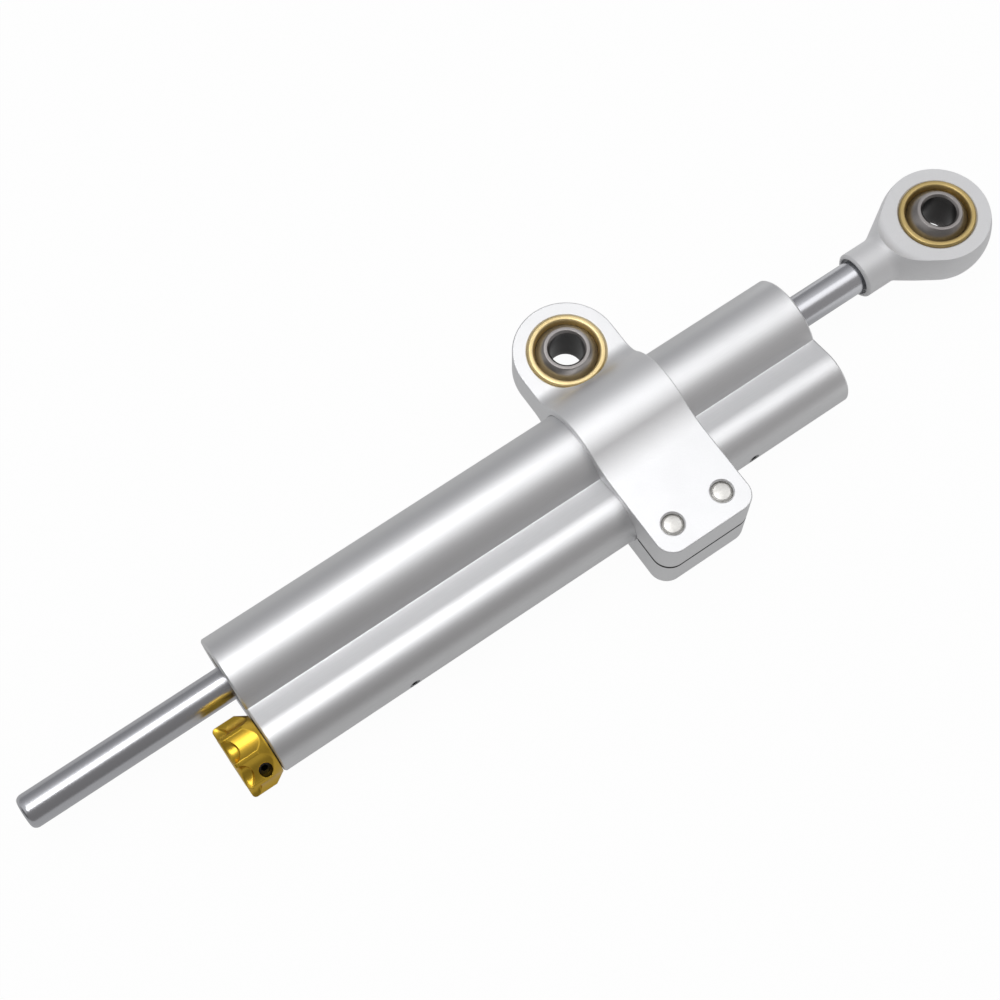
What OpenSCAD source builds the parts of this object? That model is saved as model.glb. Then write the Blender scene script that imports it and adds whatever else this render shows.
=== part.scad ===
// Linear motorcycle steering damper: twin-barrel cylinder, through rod,
// side adjuster and clamp-on eye.
// Frame: +X runs along the rod toward its eye, +Z runs along the clamp's bearing bore,
// +Y runs from the cylinder to that bearing. The origin is the centre of that bore.

/* [Cylinder body] */
// Length of the twin-barrel body
body_len = 151.2; // [150:0.1:158]
// Outer diameter of the main barrel
barrel_dia = 21.6; // [21.2:0.1:23]
// Outer diameter of the side barrel that holds the adjuster
side_dia = 14.6; // [14.2:0.1:16]
// Distance between the two barrel axes
side_pitch = 15.9; // [15.6:0.1:16.6]
// Half height of the waist where the flat flanks meet the main barrel
waist_half = 5.7; // [5:0.1:6.5]
// Bore in which the piston runs
bore_dia = 17; // [16:0.1:17.2]
// Counterbore that seats the rod guides
guide_seat_dia = 18; // [17.8:0.1:18.2]
// Depth of the left guide seat, from the adjuster end
guide_depth_left = 29; // [26:0.5:30]
// Depth of the right guide seat, from the rod eye end
guide_depth_right = 22; // [20:0.5:25]
// Bevel on the outer edges of the body
body_bevel = 0.6; // [0.2:0.1:1]

/* [Rod and piston] */
// Diameter of the through rod
rod_dia = 8; // [7.6:0.1:8.2]
// How far the rod's bare end stands out of the body
rod_out = 49.8; // [49:0.1:58]
// Gap from the body to the neck of the rod eye
neck_gap = 19.8; // [19:0.1:24]
// Thickness of the piston
piston_len = 12; // [10:0.5:14]
// Distance from the body's adjuster end to the middle of the piston
piston_station = 60; // [56:0.5:66]
// Radial play of the piston's skirt in its bore
piston_play = 0.1; // [0.05:0.01:0.2]
// Radial play of a seal or bush on the rod
rod_play = 0.04; // [0.02:0.01:0.08]

/* [Clamp] */
// Distance from the body's adjuster end to the middle of the clamp
clamp_station = 103.95; // [80:0.05:130]
// Width of the clamp along the body
clamp_width = 24.8; // [24:0.1:28]
// Wall of the clamp over the main barrel
clamp_wall = 2.1; // [1.8:0.1:2.6]
// Offset of the clamp's bearing from the main barrel axis
eye_offset = 20.85; // [20.4:0.05:24]
// Thickness of both bearing eyes
eye_thick = 9; // [8.4:0.1:9.8]
// Diameter of both bearing eyes
eye_dia = 24.8; // [23.5:0.1:26]
// Thickness of the bolted plate
plate_thick = 19; // [17.5:0.1:20]
// Distance from the bolts' axes to the plate's outer face
bolt_edge = 6.2; // [5:0.1:8]
// Corner radius of the plate
plate_corner = 4.3; // [3:0.1:5.5]
// Width of the slit that the bolts close
slit_width = 0.5; // [0.3:0.05:1]
// Fillet between the eye's flat and the barrel bulge
valley_radius = 6; // [3:0.1:6.5]
// Fillet between the barrel bulge and the plate
shoulder_radius = 20; // [8:0.5:22]
// Radial play between the loosened clamp and the body
clamp_play = 0.05; // [0.03:0.01:0.1]

/* [Clamp bolts] */
// Nominal thread diameter of the clamp bolts
bolt_dia = 5; // [4:0.5:5]
// Spacing of the two clamp bolts
bolt_pitch = 13.25; // [12:0.25:14]
// Distance from the side barrel to the bolts' axes
bolt_gap = 4.5; // [4.2:0.1:5.5]
// Length of a bolt under its head
bolt_len = 14; // [13:0.5:14]
// Diameter of a bolt head
head_dia = 8.5; // [7:0.1:8.6]
// Height of a bolt head
head_len = 5; // [4:0.5:5]

/* [Spherical bearings] */
// Bore of both bearing balls
bearing_bore = 8; // [6:0.1:8.4]
// Diameter of the ball
ball_dia = 15.9; // [15.4:0.1:16]
// Width of the ball across its two faces
ball_width = 12; // [11:0.1:12.4]
// Outer diameter of the race
race_dia = 17.9; // [17.6:0.1:18.4]
// Width of the race
race_width = 10.2; // [9.6:0.1:10.8]
// Width of the race where the ball emerges
race_mouth = 6.9; // [6:0.1:7.4]
// Width of the flat ring on each face of a race
race_flat = 1.3; // [1:0.1:1.5]

/* [Rod eye] */
// Distance from the neck's end to the middle of the rod eye
neck_to_eye = 24.2; // [23:0.1:26]
// Diameter of the neck
neck_dia = 11.2; // [10.6:0.1:12.4]
// Half angle of the flare from the neck to the eye
flare_angle = 31; // [26:0.5:35]
// Radius left where the flats are spot-faced
scoop_radius = 4; // [2.5:0.1:5]
// Turn of the rod eye about the rod in the rest pose
eye_roll = -3; // [-20:0.5:20]
// Lean of the rod eye's ball about the rod
ball_lean = 1.3; // [-6:0.1:6]
// Tip of the rod eye's ball along the rod
ball_tip = 2.9; // [-6:0.1:6]

/* [Adjuster] */
// Diameter of the adjuster knob
knob_dia = 17; // [16.6:0.1:18]
// Length of the adjuster knob
knob_len = 8.1; // [7.6:0.1:9]
// Gap between the knob and the body
knob_gap = 0.35; // [0.25:0.05:0.5]
// Number of finger flutes around the knob
knob_flutes = 8; // [6:1:10]
// Radius of the round scoop milled into the front of each flute
scoop_len = 2.7; // [1.5:0.1:3]
// Radius to the floor of the deep scoops
scoop_floor = 6.5; // [6.3:0.1:6.9]
// Radius to the floor of the shallow flutes
flute_floor = 7.4; // [7.2:0.1:7.7]
// Angle of the first ridge of the knob, from +Y toward +Z
knob_phase = 65; // [0:1:90]
// Angle of the grub screw, from +Y toward +Z
grub_angle = 143; // [130:1:150]
// Nominal diameter of the knob's grub screw
grub_dia = 3; // [2:0.5:3]
// Diameter of the threaded gland in the side barrel
gland_dia = 11; // [10.8:0.1:11.2]
// Length of the gland
gland_len = 16; // [15:0.5:17]
// Diameter of the adjuster spindle
spindle_dia = 5; // [4.6:0.1:5.2]
// Diameter of the spindle's drive thread
drive_dia = 4; // [3.6:0.1:4.2]
// Width across the flats of the needle's hexagon head
needle_hex = 6.5; // [6:0.1:6.6]
// Distance from the body's end to the left cross drilling
port_left = 33; // [32:0.5:35]
// Distance from the body's end to the right cross drilling
port_right = 124.3; // [120:0.1:126]
// Diameter of the cross drillings
port_dia = 1.9; // [1.6:0.1:2.1]
// Diameter of the passage along the side barrel
gallery_dia = 3; // [2.6:0.1:3.4]
// Diameter of the metering orifice
orifice_dia = 2.4; // [2.2:0.1:2.5]
// Diameter of the side plugs that close the cross drillings
plug_dia = 2.5; // [2.3:0.1:3]

/* [View] */
// Node to draw

/* [Hidden] */
$fn = 64;

// Play between parts that are screwed or pushed together
seat_play = 0.03;
// Play between a thread's crests and its hole
thread_play = 0.05;
// Overlap that makes a cut pass clean through
cut = 0.2;
// Depth to which a fillet sinks into the faces that it joins
blend = 0.02;

barrel_r = barrel_dia / 2;
side_r = side_dia / 2;
bore_r = bore_dia / 2;
seat_r = guide_seat_dia / 2;
rod_r = rod_dia / 2;
bulge_r = barrel_r + clamp_wall;
eye_r = eye_dia / 2;
race_r = race_dia / 2;
ball_r = ball_dia / 2;
chamber_end = body_len - guide_depth_right;
neck_start = body_len + neck_gap;
rod_eye_station = neck_start + neck_to_eye;

// Wall between the rod eye's socket and its race, and the gap left beyond the rod's end
socket_wall = 1.85;
socket_rest = 0.4;

// Sizes of the rod guide and what it carries
clip_thick = 1;
clip_inset = 1.7;
clip_groove_r = seat_r + 0.6;
guide_inset = clip_inset + clip_thick + seat_play;
wiper_inset = guide_inset + 1.6;
wiper_len = 3;
wiper_groove_r = 6.4;
seal_len = 4;
seal_groove_r = 6.7;
seal_inset = 7;
ring_wire = 1.5;
guide_ring_inset = 13;
// Width of a ring groove as a multiple of the ring's section
groove_ratio = 1.3;

// Distances from the main barrel's axis to the bolts and to the plate's outer face
bolt_reach = side_pitch + side_r + bolt_gap;
plate_reach = bolt_reach + bolt_edge;

// Depth of the bolt seat that leaves the bolt's tip just under the top face
bolt_seat_depth = plate_thick - bolt_len - 0.1;
bolt_play = 0.5;
mouth_bevel = 0.3;

// Sizes of the piston group
snap_thick = 1;
snap_floor_r = rod_r - 0.5;
band_len = 2.6;
band_floor_r = bore_r - 1.6;
inner_ring_wire = 1.2;

// Sizes of the adjuster group
knob_r = knob_dia / 2;
gland_r = gland_dia / 2;
spindle_r = spindle_dia / 2;
needle_bore_r = 2.5;
needle_stem_r = 1.5;
hex_start = 7.4;
hex_play = 0.06;
needle_head_start = 9.6;
needle_head_len = 4.4;
gland_pocket_len = gland_len + 0.1;
needle_bore_start = gland_len + 3;
orifice_start = 40;
orifice_len = 3;
gallery_start = orifice_start + orifice_len;
end_plug_dia = 6;
end_plug_len = 6;
plug_len = 3;
plug_socket = 1.3;
plug_inset = 0.15;
relief_r = 4;
grub_inset = 3;
// Sections and stations of the gland's outer ring and of the spindle's ring
gland_ring_wire = 1;
gland_ring_start = 5;
spindle_ring_wire = 0.8;
spindle_ring_start = 2.6;
// Click detent: distance from the spindle axis, angle around it, ball and hole
detent_radius = 3.95;
detent_angle = 0;
detent_ball_r = 0.8;
detent_hole_depth = 4.6;
detent_lift = 0.03;

// Moves a child from the cylinder's frame to the shared frame.
// In the cylinder's frame X = 0 is the body's adjuster end and the main barrel is on the X axis.
module in_place() {
    translate([-clamp_station, -eye_offset, 0]) children();
}

// Stands a profile drawn as [radius, station] along the X axis
module turned(sweep = 360) {
    rotate([0, 90, 0]) rotate_extrude(angle = sweep) children();
}

// Solid bar along X
module bar(r, from, to) {
    translate([from, 0, 0]) rotate([0, 90, 0]) cylinder(r = r, h = to - from);
}

// Moves a child to the axis of the side barrel
module on_side_axis() {
    translate([0, -side_pitch, 0]) children();
}

// Mirrors a child to the rod eye's end of the body
module at_right_end() {
    translate([body_len, 0, 0]) mirror([1, 0, 0]) children();
}

// Round rubber ring around the X axis
module o_ring(mid_r, wire, station) {
    turned() translate([mid_r, station]) circle(d = wire, $fn = 24);
}

// Angle at which a flank leaves the side barrel, for a section grown all round
function flank_foot(grow) = [-sqrt(pow(barrel_r + grow, 2) - pow(waist_half + grow, 2)), waist_half + grow];
function flank_angle(grow) =
    let (p = flank_foot(grow), dy = p[0] + side_pitch, d = norm([dy, p[1]]))
    atan2(p[1], dy) + acos(min(1, (side_r + grow) / d));

// Cross section of the twin-barrel body, drawn as [y, z]
module body_section(grow = 0) {
    foot = flank_foot(grow);
    a = flank_angle(grow);
    tip = [-side_pitch + (side_r + grow) * cos(a), (side_r + grow) * sin(a)];
    // The flanks run on a little way inside the main barrel
    root = foot + (foot - tip) / 5;
    circle(r = barrel_r + grow, $fn = 96);
    translate([-side_pitch, 0]) circle(r = side_r + grow, $fn = 96);
    polygon([root, tip, [tip[0], -tip[1]], [root[0], -root[1]]]);
}

// Extrudes a [y, z] section along X
module along_x(len) {
    rotate([90, 0, 90]) linear_extrude(len) children();
}

// Cut that bevels a barrel's end at X = 0, swept from an angle measured from +Y toward +Z
module rim_bevel(r, from, sweep) {
    rotate([from + 90, 0, 0]) turned(sweep)
        polygon([[r - body_bevel - cut, -cut], [r + cut, -cut], [r + cut, body_bevel + cut]]);
}

// Cut that bevels the whole outline of the body at X = 0, mitred where the flanks meet the barrel
module end_bevel() {
    foot = flank_foot(0);
    foot_angle = atan2(foot[1], foot[0]);
    a = flank_angle(0);
    tip = [-side_pitch + side_r * cos(a), side_r * sin(a)];
    mitre = body_bevel * tan((foot_angle - a) / 2);
    extra = atan(mitre / barrel_r);
    rim_bevel(barrel_r, -foot_angle - extra, 2 * (foot_angle + extra));
    on_side_axis() rim_bevel(side_r, a, 360 - 2 * a);
    for (side = [0, 1])
        mirror([0, 0, side]) translate([0, tip[0], tip[1]]) rotate([a - 90, 0, 0])
            translate([0, norm(foot - tip) + mitre, 0]) rotate([90, 0, 0])
                linear_extrude(norm(foot - tip) + mitre)
                    polygon([[-cut, -body_bevel - cut], [body_bevel + cut, cut], [-cut, cut]]);
}

// Twin-barrel body with its bores, ports and grooves
module damper_body() {
    color([0.78, 0.79, 0.81]) in_place() difference() {
        along_x(body_len) body_section();
        end_bevel();
        at_right_end() end_bevel();
        bar(bore_r, -cut, body_len + cut);
        bar(seat_r, -cut, guide_depth_left);
        bar(seat_r, chamber_end, body_len + cut);
        bar(clip_groove_r, clip_inset, clip_inset + clip_thick + seat_play);
        at_right_end() bar(clip_groove_r, clip_inset, clip_inset + clip_thick + seat_play);
        on_side_axis() {
            bar(gland_r + seat_play, -cut, gland_pocket_len);
            bar(relief_r, gland_pocket_len - cut, needle_bore_start);
            bar(needle_bore_r, needle_bore_start - cut, orifice_start);
            bar(orifice_dia / 2, orifice_start - cut, gallery_start + cut);
            bar(gallery_dia / 2, gallery_start, body_len + cut);
            at_right_end() bar(end_plug_dia / 2 + seat_play, -cut, end_plug_len + 0.5);
        }
        for (station = [port_left, port_right])
            translate([station, 0, 0]) {
                translate([0, -side_pitch - side_r - cut, 0]) rotate([-90, 0, 0])
                    cylinder(d = port_dia, h = side_pitch + side_r + cut - bore_r + 1.5, $fn = 32);
                translate([0, -side_pitch - side_r - cut, 0]) rotate([-90, 0, 0])
                    cylinder(d = plug_dia + 2 * seat_play, h = plug_len + cut + 0.5, $fn = 32);
            }
    }
}

// Snap ring that expands into a groove of the body
module retaining_ring() {
    gap_start = 320;
    ear_r = seat_r - 2.3;
    rotate([160, 0, 0]) translate([clip_inset + seat_play / 2, 0, 0]) rotate([0, 90, 0]) difference() {
        union() {
            rotate_extrude(angle = gap_start)
                translate([seat_r - 2.2, 0]) square([2.6, clip_thick]);
            for (side = [0, gap_start])
                rotate([0, 0, side]) translate([ear_r, 0, 0]) cylinder(r = 1.5, h = clip_thick, $fn = 24);
        }
        for (side = [0, gap_start])
            rotate([0, 0, side]) translate([ear_r, 0, -cut])
                cylinder(r = 0.7, h = clip_thick + 2 * cut, $fn = 24);
    }
}

module retaining_rings() {
    color([0.3, 0.3, 0.31]) in_place() {
        retaining_ring();
        at_right_end() retaining_ring();
    }
}

// Rod guide with grooves for its wiper, seal and outer ring
module rod_guide(depth) {
    outer = seat_r - seat_play;
    inner = rod_r + rod_play;
    wiper_end = wiper_inset + wiper_len;
    seal_start = depth - seal_inset;
    seal_end = seal_start + seal_len;
    ring_floor = outer - ring_wire;
    ring_start = guide_ring_inset;
    ring_end = ring_start + groove_ratio * ring_wire;
    mouth_r = rod_r + 1.3;
    turned() polygon([
        [outer, guide_inset], [outer, ring_start], [ring_floor, ring_start], [ring_floor, ring_end],
        [outer, ring_end], [outer, depth - seat_play], [inner, depth - seat_play], [inner, seal_end],
        [seal_groove_r, seal_end], [seal_groove_r, seal_start], [inner, seal_start], [inner, wiper_end],
        [wiper_groove_r, wiper_end], [wiper_groove_r, wiper_inset], [mouth_r, wiper_inset],
        [mouth_r, guide_inset]
    ]);
}

module rod_guide_left() {
    color([0.62, 0.6, 0.5]) in_place() rod_guide(guide_depth_left);
}

module rod_guide_right() {
    color([0.62, 0.6, 0.5]) in_place() at_right_end() rod_guide(guide_depth_right);
}

module guide_o_rings() {
    mid = seat_r - ring_wire / 2 - seat_play;
    station = guide_ring_inset + groove_ratio / 2 * ring_wire;
    color([0.08, 0.08, 0.08]) in_place() {
        o_ring(mid, ring_wire, station);
        at_right_end() o_ring(mid, ring_wire, station);
    }
}

// Cup seal whose lips open toward the oil
module rod_seal(depth) {
    start = depth - seal_inset + seat_play;
    end = start + seal_len - 2 * seat_play;
    inner = rod_r + rod_play;
    outer = seal_groove_r - seat_play;
    mid = (inner + outer) / 2;
    turned() polygon([[inner, start], [outer, start], [outer, end], [mid + 0.5, end], [mid, start + 1.4],
                      [mid - 0.5, end], [inner, end]]);
}

module rod_seals() {
    color([0.1, 0.22, 0.3]) in_place() {
        rod_seal(guide_depth_left);
        at_right_end() rod_seal(guide_depth_right);
    }
}

// Wiper whose lip points away from the body
module rod_wiper() {
    inner = rod_r + rod_play;
    outer = wiper_groove_r - seat_play;
    start = wiper_inset + seat_play;
    end = wiper_inset + wiper_len - seat_play;
    lip_start = guide_inset - 1.2;
    turned() polygon([[inner, lip_start], [inner + 0.4, lip_start], [rod_r + 1.1, start - 0.4],
                      [rod_r + 1.1, start], [outer, start], [outer, end], [inner + 0.9, end],
                      [inner, lip_start + 1]]);
}

module rod_wipers() {
    color([0.08, 0.08, 0.08]) in_place() {
        rod_wiper();
        at_right_end() rod_wiper();
    }
}

// Grub screw with a blind hexagon socket; the socket faces -Y
module side_plug() {
    difference() {
        rotate([-90, 0, 0]) cylinder(d = plug_dia, h = plug_len, $fn = 32);
        translate([0, -cut, 0]) rotate([-90, 0, 0])
            cylinder(d = plug_socket / cos(30), h = plug_len / 2 + cut, $fn = 6);
    }
}

module side_plugs() {
    color([0.25, 0.25, 0.26]) in_place()
        for (station = [port_left, port_right])
            translate([station, plug_inset - side_pitch - side_r, 0]) side_plug();
}

module gallery_end_plug() {
    socket_width = 3;
    color([0.25, 0.25, 0.26]) in_place() on_side_axis() at_right_end() translate([plug_inset, 0, 0])
        difference() {
            bar(end_plug_dia / 2, 0, end_plug_len);
            translate([-cut, 0, 0]) rotate([0, 90, 0])
                cylinder(d = socket_width / cos(30), h = 2.5 + cut, $fn = 6);
        }
}

// Through rod: bare chamfered end, two snap ring grooves and a plain thread land
module piston_rod() {
    nose_r = 1.2;
    nose_len = 1.5;
    tail = rod_eye_station - race_r - socket_wall - socket_rest;
    left_groove = piston_station - piston_len / 2 - snap_thick - seat_play;
    right_groove = piston_station + piston_len / 2 + seat_play;
    groove_len = snap_thick;
    land_r = rod_r - 0.15;
    land_start = neck_start - 0.6;
    color([0.86, 0.87, 0.89]) in_place() turned() polygon([
        [0, -rod_out],
        for (a = [0:22.5:90]) [rod_r - nose_r + nose_r * sin(a), nose_len * (1 - cos(a)) - rod_out],
        [rod_r, left_groove], [snap_floor_r, left_groove], [snap_floor_r, left_groove + groove_len],
        [rod_r, left_groove + groove_len], [rod_r, right_groove], [snap_floor_r, right_groove],
        [snap_floor_r, right_groove + groove_len], [rod_r, right_groove + groove_len],
        [rod_r, land_start], [land_r, land_start], [land_r, tail - 0.8], [land_r - 0.8, tail], [0, tail]
    ]);
}

// Open snap ring that grips a groove of the rod
module snap_ring(station) {
    translate([station, 0, 0]) rotate([200, 0, 0]) rotate([0, 90, 0])
        rotate_extrude(angle = 310)
            translate([snap_floor_r + seat_play, 0]) square([2.1, snap_thick - 2 * seat_play]);
}

module piston_snap_rings() {
    color([0.3, 0.3, 0.31]) in_place() {
        snap_ring(piston_station - piston_len / 2 - snap_thick);
        snap_ring(piston_station + piston_len / 2 + 2 * seat_play);
    }
}

module piston() {
    outer = bore_r - piston_play;
    inner = rod_r + rod_play;
    half = piston_len / 2;
    band_half = band_len / 2 + seat_play;
    ring_half = groove_ratio / 2 * inner_ring_wire;
    ring_floor = inner + inner_ring_wire;
    color([0.72, 0.58, 0.3]) in_place() translate([piston_station, 0, 0]) turned() polygon([
        [inner, -half], [outer - 1, -half], [outer, 1 - half], [outer, -band_half],
        [band_floor_r, -band_half], [band_floor_r, band_half], [outer, band_half], [outer, half - 1],
        [outer - 1, half], [inner, half],
        [inner, ring_half], [ring_floor, ring_half], [ring_floor, -ring_half], [inner, -ring_half]
    ]);
}

module piston_ring() {
    color([0.35, 0.3, 0.24]) in_place() translate([piston_station - band_len / 2, 0, 0]) turned()
        translate([band_floor_r + seat_play, 0]) square([bore_r - 2 * seat_play - band_floor_r, band_len]);
}

module piston_o_ring() {
    color([0.08, 0.08, 0.08]) in_place()
        o_ring(rod_r + rod_play + inner_ring_wire / 2, inner_ring_wire - 2 * seat_play, piston_station);
}

// Race of a spherical bearing, centred on the origin with its bore along Z
module bearing_race() {
    half = race_width / 2;
    mouth_half = race_mouth / 2;
    mouth_r = sqrt(pow(ball_r + rod_play, 2) - pow(mouth_half, 2));
    bevel_r = race_r - race_flat;
    difference() {
        cylinder(r = race_r, h = race_width, center = true);
        sphere(r = ball_r + rod_play, $fn = 96);
        for (side = [0, 1])
            mirror([0, 0, side]) rotate_extrude()
                polygon([[0, mouth_half], [mouth_r, mouth_half], [bevel_r, half], [bevel_r, half + cut],
                         [0, half + cut]]);
    }
}

// Ball of a spherical bearing, centred on the origin with its bore along Z
module bearing_ball() {
    half = ball_width / 2;
    hole_r = bearing_bore / 2;
    difference() {
        intersection() {
            sphere(r = ball_r, $fn = 96);
            cube([2 * ball_dia, 2 * ball_dia, ball_width], center = true);
        }
        cylinder(r = hole_r, h = ball_width + 2 * cut, center = true);
        for (side = [0, 1])
            mirror([0, 0, side]) rotate_extrude()
                polygon([[hole_r - cut, half - 0.5], [hole_r, half - 0.5], [hole_r + 0.5, half],
                         [hole_r + 0.5, half + cut], [hole_r - cut, half + cut]]);
    }
}

// Hole through an eye that receives a race, with a bevel at each mouth
module race_pocket() {
    half = eye_thick / 2;
    r = race_r + seat_play;
    cylinder(r = r, h = 4 * eye_thick, center = true);
    for (side = [0, 1])
        mirror([0, 0, side]) rotate_extrude()
            polygon([[r - cut, half - 0.35], [r, half - 0.35], [r + 0.35, half], [r + 0.35, half + 4],
                     [r - cut, half + 4]]);
}

// Plate, shoulders, valleys and eye of the clamp as [y, z]; the bulge over the barrel joins them
module clamp_section() {
    eye_half = eye_thick / 2;
    plate_half = plate_thick / 2;
    eye_reach = eye_offset + eye_r + 1;
    valley_z = eye_half + valley_radius;
    valley_y = sqrt(pow(bulge_r + valley_radius, 2) - pow(valley_z, 2));
    shoulder_z = plate_half + shoulder_radius;
    shoulder_y = -sqrt(pow(bulge_r + shoulder_radius, 2) - pow(shoulder_z, 2));
    valley_foot = [valley_y, valley_z] * bulge_r / (bulge_r + valley_radius);
    shoulder_foot = [shoulder_y, shoulder_z] * bulge_r / (bulge_r + shoulder_radius);
    upper = [[-plate_reach, plate_half], [shoulder_y, plate_half], shoulder_foot, valley_foot,
             [valley_y, eye_half], [eye_reach, eye_half]];
    lower = [for (i = [len(upper) - 1:-1:0]) [upper[i][0], -upper[i][1]]];
    difference() {
        polygon(concat(upper, lower));
        for (side = [-1, 1]) {
            translate([valley_y, side * valley_z]) circle(r = valley_radius + blend, $fn = 96);
            translate([shoulder_y, side * shoulder_z]) circle(r = shoulder_radius + blend, $fn = 96);
        }
    }
}

// Outline of the clamp seen from above: round eye, straight flanks and two rounded corners
module clamp_plan() {
    half = clamp_width / 2;
    inner = half - plate_corner;
    translate([0, eye_offset]) circle(r = eye_r, $fn = 128);
    translate([-half, plate_corner - plate_reach])
        square([clamp_width, plate_reach - plate_corner + bulge_r]);
    translate([-eye_r, 0]) square([eye_dia, eye_offset]);
    translate([-inner, -plate_reach]) square([2 * inner, plate_corner + 1]);
    for (side = [-1, 1])
        translate([side * inner, plate_corner - plate_reach]) circle(r = plate_corner, $fn = 64);
}

module clamp() {
    plate_half = plate_thick / 2;
    hole_r = bolt_dia / 2 + thread_play;
    color([0.84, 0.85, 0.87]) in_place() translate([clamp_station, 0, 0]) difference() {
        intersection() {
            union() {
                bar(bulge_r, -clamp_width, clamp_width);
                translate([-clamp_width, 0, 0]) along_x(2 * clamp_width) clamp_section();
            }
            linear_extrude(4 * eye_thick, center = true) clamp_plan();
        }
        translate([-clamp_width, 0, 0]) along_x(2 * clamp_width) body_section(clamp_play);
        translate([-clamp_width, -plate_reach - cut, -slit_width / 2])
            cube([2 * clamp_width, plate_reach - side_pitch, slit_width]);
        translate([0, eye_offset, 0]) race_pocket();
        for (side = [-1, 1])
            translate([side * bolt_pitch / 2, -bolt_reach, 0]) {
                translate([0, 0, -cut]) cylinder(r = hole_r, h = plate_half + 2 * cut, $fn = 48);
                translate([0, 0, -plate_half]) cylinder(d = bolt_dia + bolt_play, h = plate_half, $fn = 48);
                translate([0, 0, -plate_half - cut])
                    cylinder(d = head_dia + bolt_play, h = bolt_seat_depth + cut, $fn = 48);
                translate([0, 0, plate_half - mouth_bevel])
                    cylinder(r1 = hole_r, r2 = hole_r + mouth_bevel + cut, h = mouth_bevel + cut, $fn = 48);
            }
    }
}

// Socket head bolts, screwed in from the underside
module clamp_bolts() {
    seat_z = bolt_seat_depth - plate_thick / 2;
    r = bolt_dia / 2;
    head_r = head_dia / 2;
    color([0.7, 0.7, 0.7]) in_place()
        for (side = [-1, 1])
            translate([clamp_station + side * bolt_pitch / 2, -bolt_reach, seat_z]) difference() {
                rotate_extrude($fn = 48) polygon([
                    [0, -head_len], [head_r - 0.4, -head_len], [head_r, 0.4 - head_len], [head_r, 0], [r, 0],
                    [r, bolt_len - 0.6], [r - 0.6, bolt_len], [0, bolt_len]
                ]);
                translate([0, 0, -head_len - cut]) cylinder(d = 4.62, h = 2.6 + cut, $fn = 6);
            }
}

module clamp_race() {
    color([0.8, 0.64, 0.3]) bearing_race();
}

module clamp_ball() {
    color([0.3, 0.29, 0.29]) bearing_ball();
}

// Moves a child to the middle of the rod eye, rolled about the rod
module at_rod_eye() {
    in_place() translate([rod_eye_station, 0, 0]) rotate([eye_roll, 0, 0]) children();
}

// Turned rod eye: neck, cone and ball head, spot-faced on both sides
module rod_eye() {
    half = eye_thick / 2;
    neck_r = neck_dia / 2;
    neck_x = -neck_to_eye;
    socket_end = -race_r - socket_wall;
    color([0.76, 0.77, 0.78]) at_rod_eye() difference() {
        union() {
            sphere(r = norm([eye_r, half]), $fn = 128);
            turned() rod_eye_shank(neck_x, neck_r, norm([eye_r, half]) - 2 * blend);
        }
        for (side = [0, 1])
            mirror([0, 0, side]) spot_face(half);
        race_pocket();
        bar(rod_r + thread_play, neck_x - cut, socket_end);
        bar(rod_r + 0.6, neck_x - cut, neck_x + 1.2);
    }
}

// Half section of the neck and its flare, up to where the flare meets a ball of radius head_r
module rod_eye_shank(neck_x, neck_r, head_r) {
    root_r = 3.5;
    flare_end = [head_r * cos(flare_angle), -head_r * sin(flare_angle)];
    corner_x = flare_end[1] - (flare_end[0] - neck_r) / tan(flare_angle);
    back = root_r * tan(flare_angle / 2);
    polygon([[0, neck_x], [neck_r - 0.5, neck_x], [neck_r, neck_x + 0.5], [neck_r, corner_x], flare_end,
             [0, flare_end[1]]]);
    difference() {
        polygon([[neck_r - 1, corner_x - back], [neck_r, corner_x - back],
                 [neck_r + back * sin(flare_angle), corner_x + back * cos(flare_angle)],
                 [neck_r - 1, corner_x + back * cos(flare_angle)]]);
        translate([neck_r + root_r, corner_x - back]) circle(r = root_r + blend, $fn = 64);
    }
}

// Cutter that levels one side of the eye and leaves a radius at its rim
module spot_face(level) {
    flat_r = eye_r + 0.15;
    rise = 3 * scoop_radius;
    rotate_extrude($fn = 96) {
        translate([0, level]) square([flat_r, rise]);
        translate([flat_r - blend, level + scoop_radius]) square([scoop_radius + blend, rise - scoop_radius]);
        intersection() {
            translate([flat_r, level + scoop_radius]) circle(r = scoop_radius, $fn = 96);
            translate([flat_r - 1, level]) square([scoop_radius + 2, 2 * scoop_radius]);
        }
    }
}

module rod_eye_race() {
    color([0.8, 0.64, 0.3]) at_rod_eye() bearing_race();
}

module rod_eye_ball() {
    color([0.3, 0.29, 0.29]) at_rod_eye() rotate([ball_lean, 0, 0]) rotate([0, ball_tip, 0]) bearing_ball();
}

// Cutter for one flute, running outward from its floor along +Y
module flute_cutter(floor_r, from, to) {
    // The flute's edges meet the rim of the knob half a pitch, less a narrow land, to each side
    half_angle = 180 / knob_flutes - 3;
    edge = [knob_r * cos(half_angle), knob_r * sin(half_angle)];
    drop = edge[0] - floor_r;
    r = (pow(edge[1], 2) + pow(drop, 2)) / (2 * drop);
    translate([from, floor_r + r, 0]) rotate([0, 90, 0]) cylinder(r = r, h = to - from, $fn = 96);
}

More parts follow.
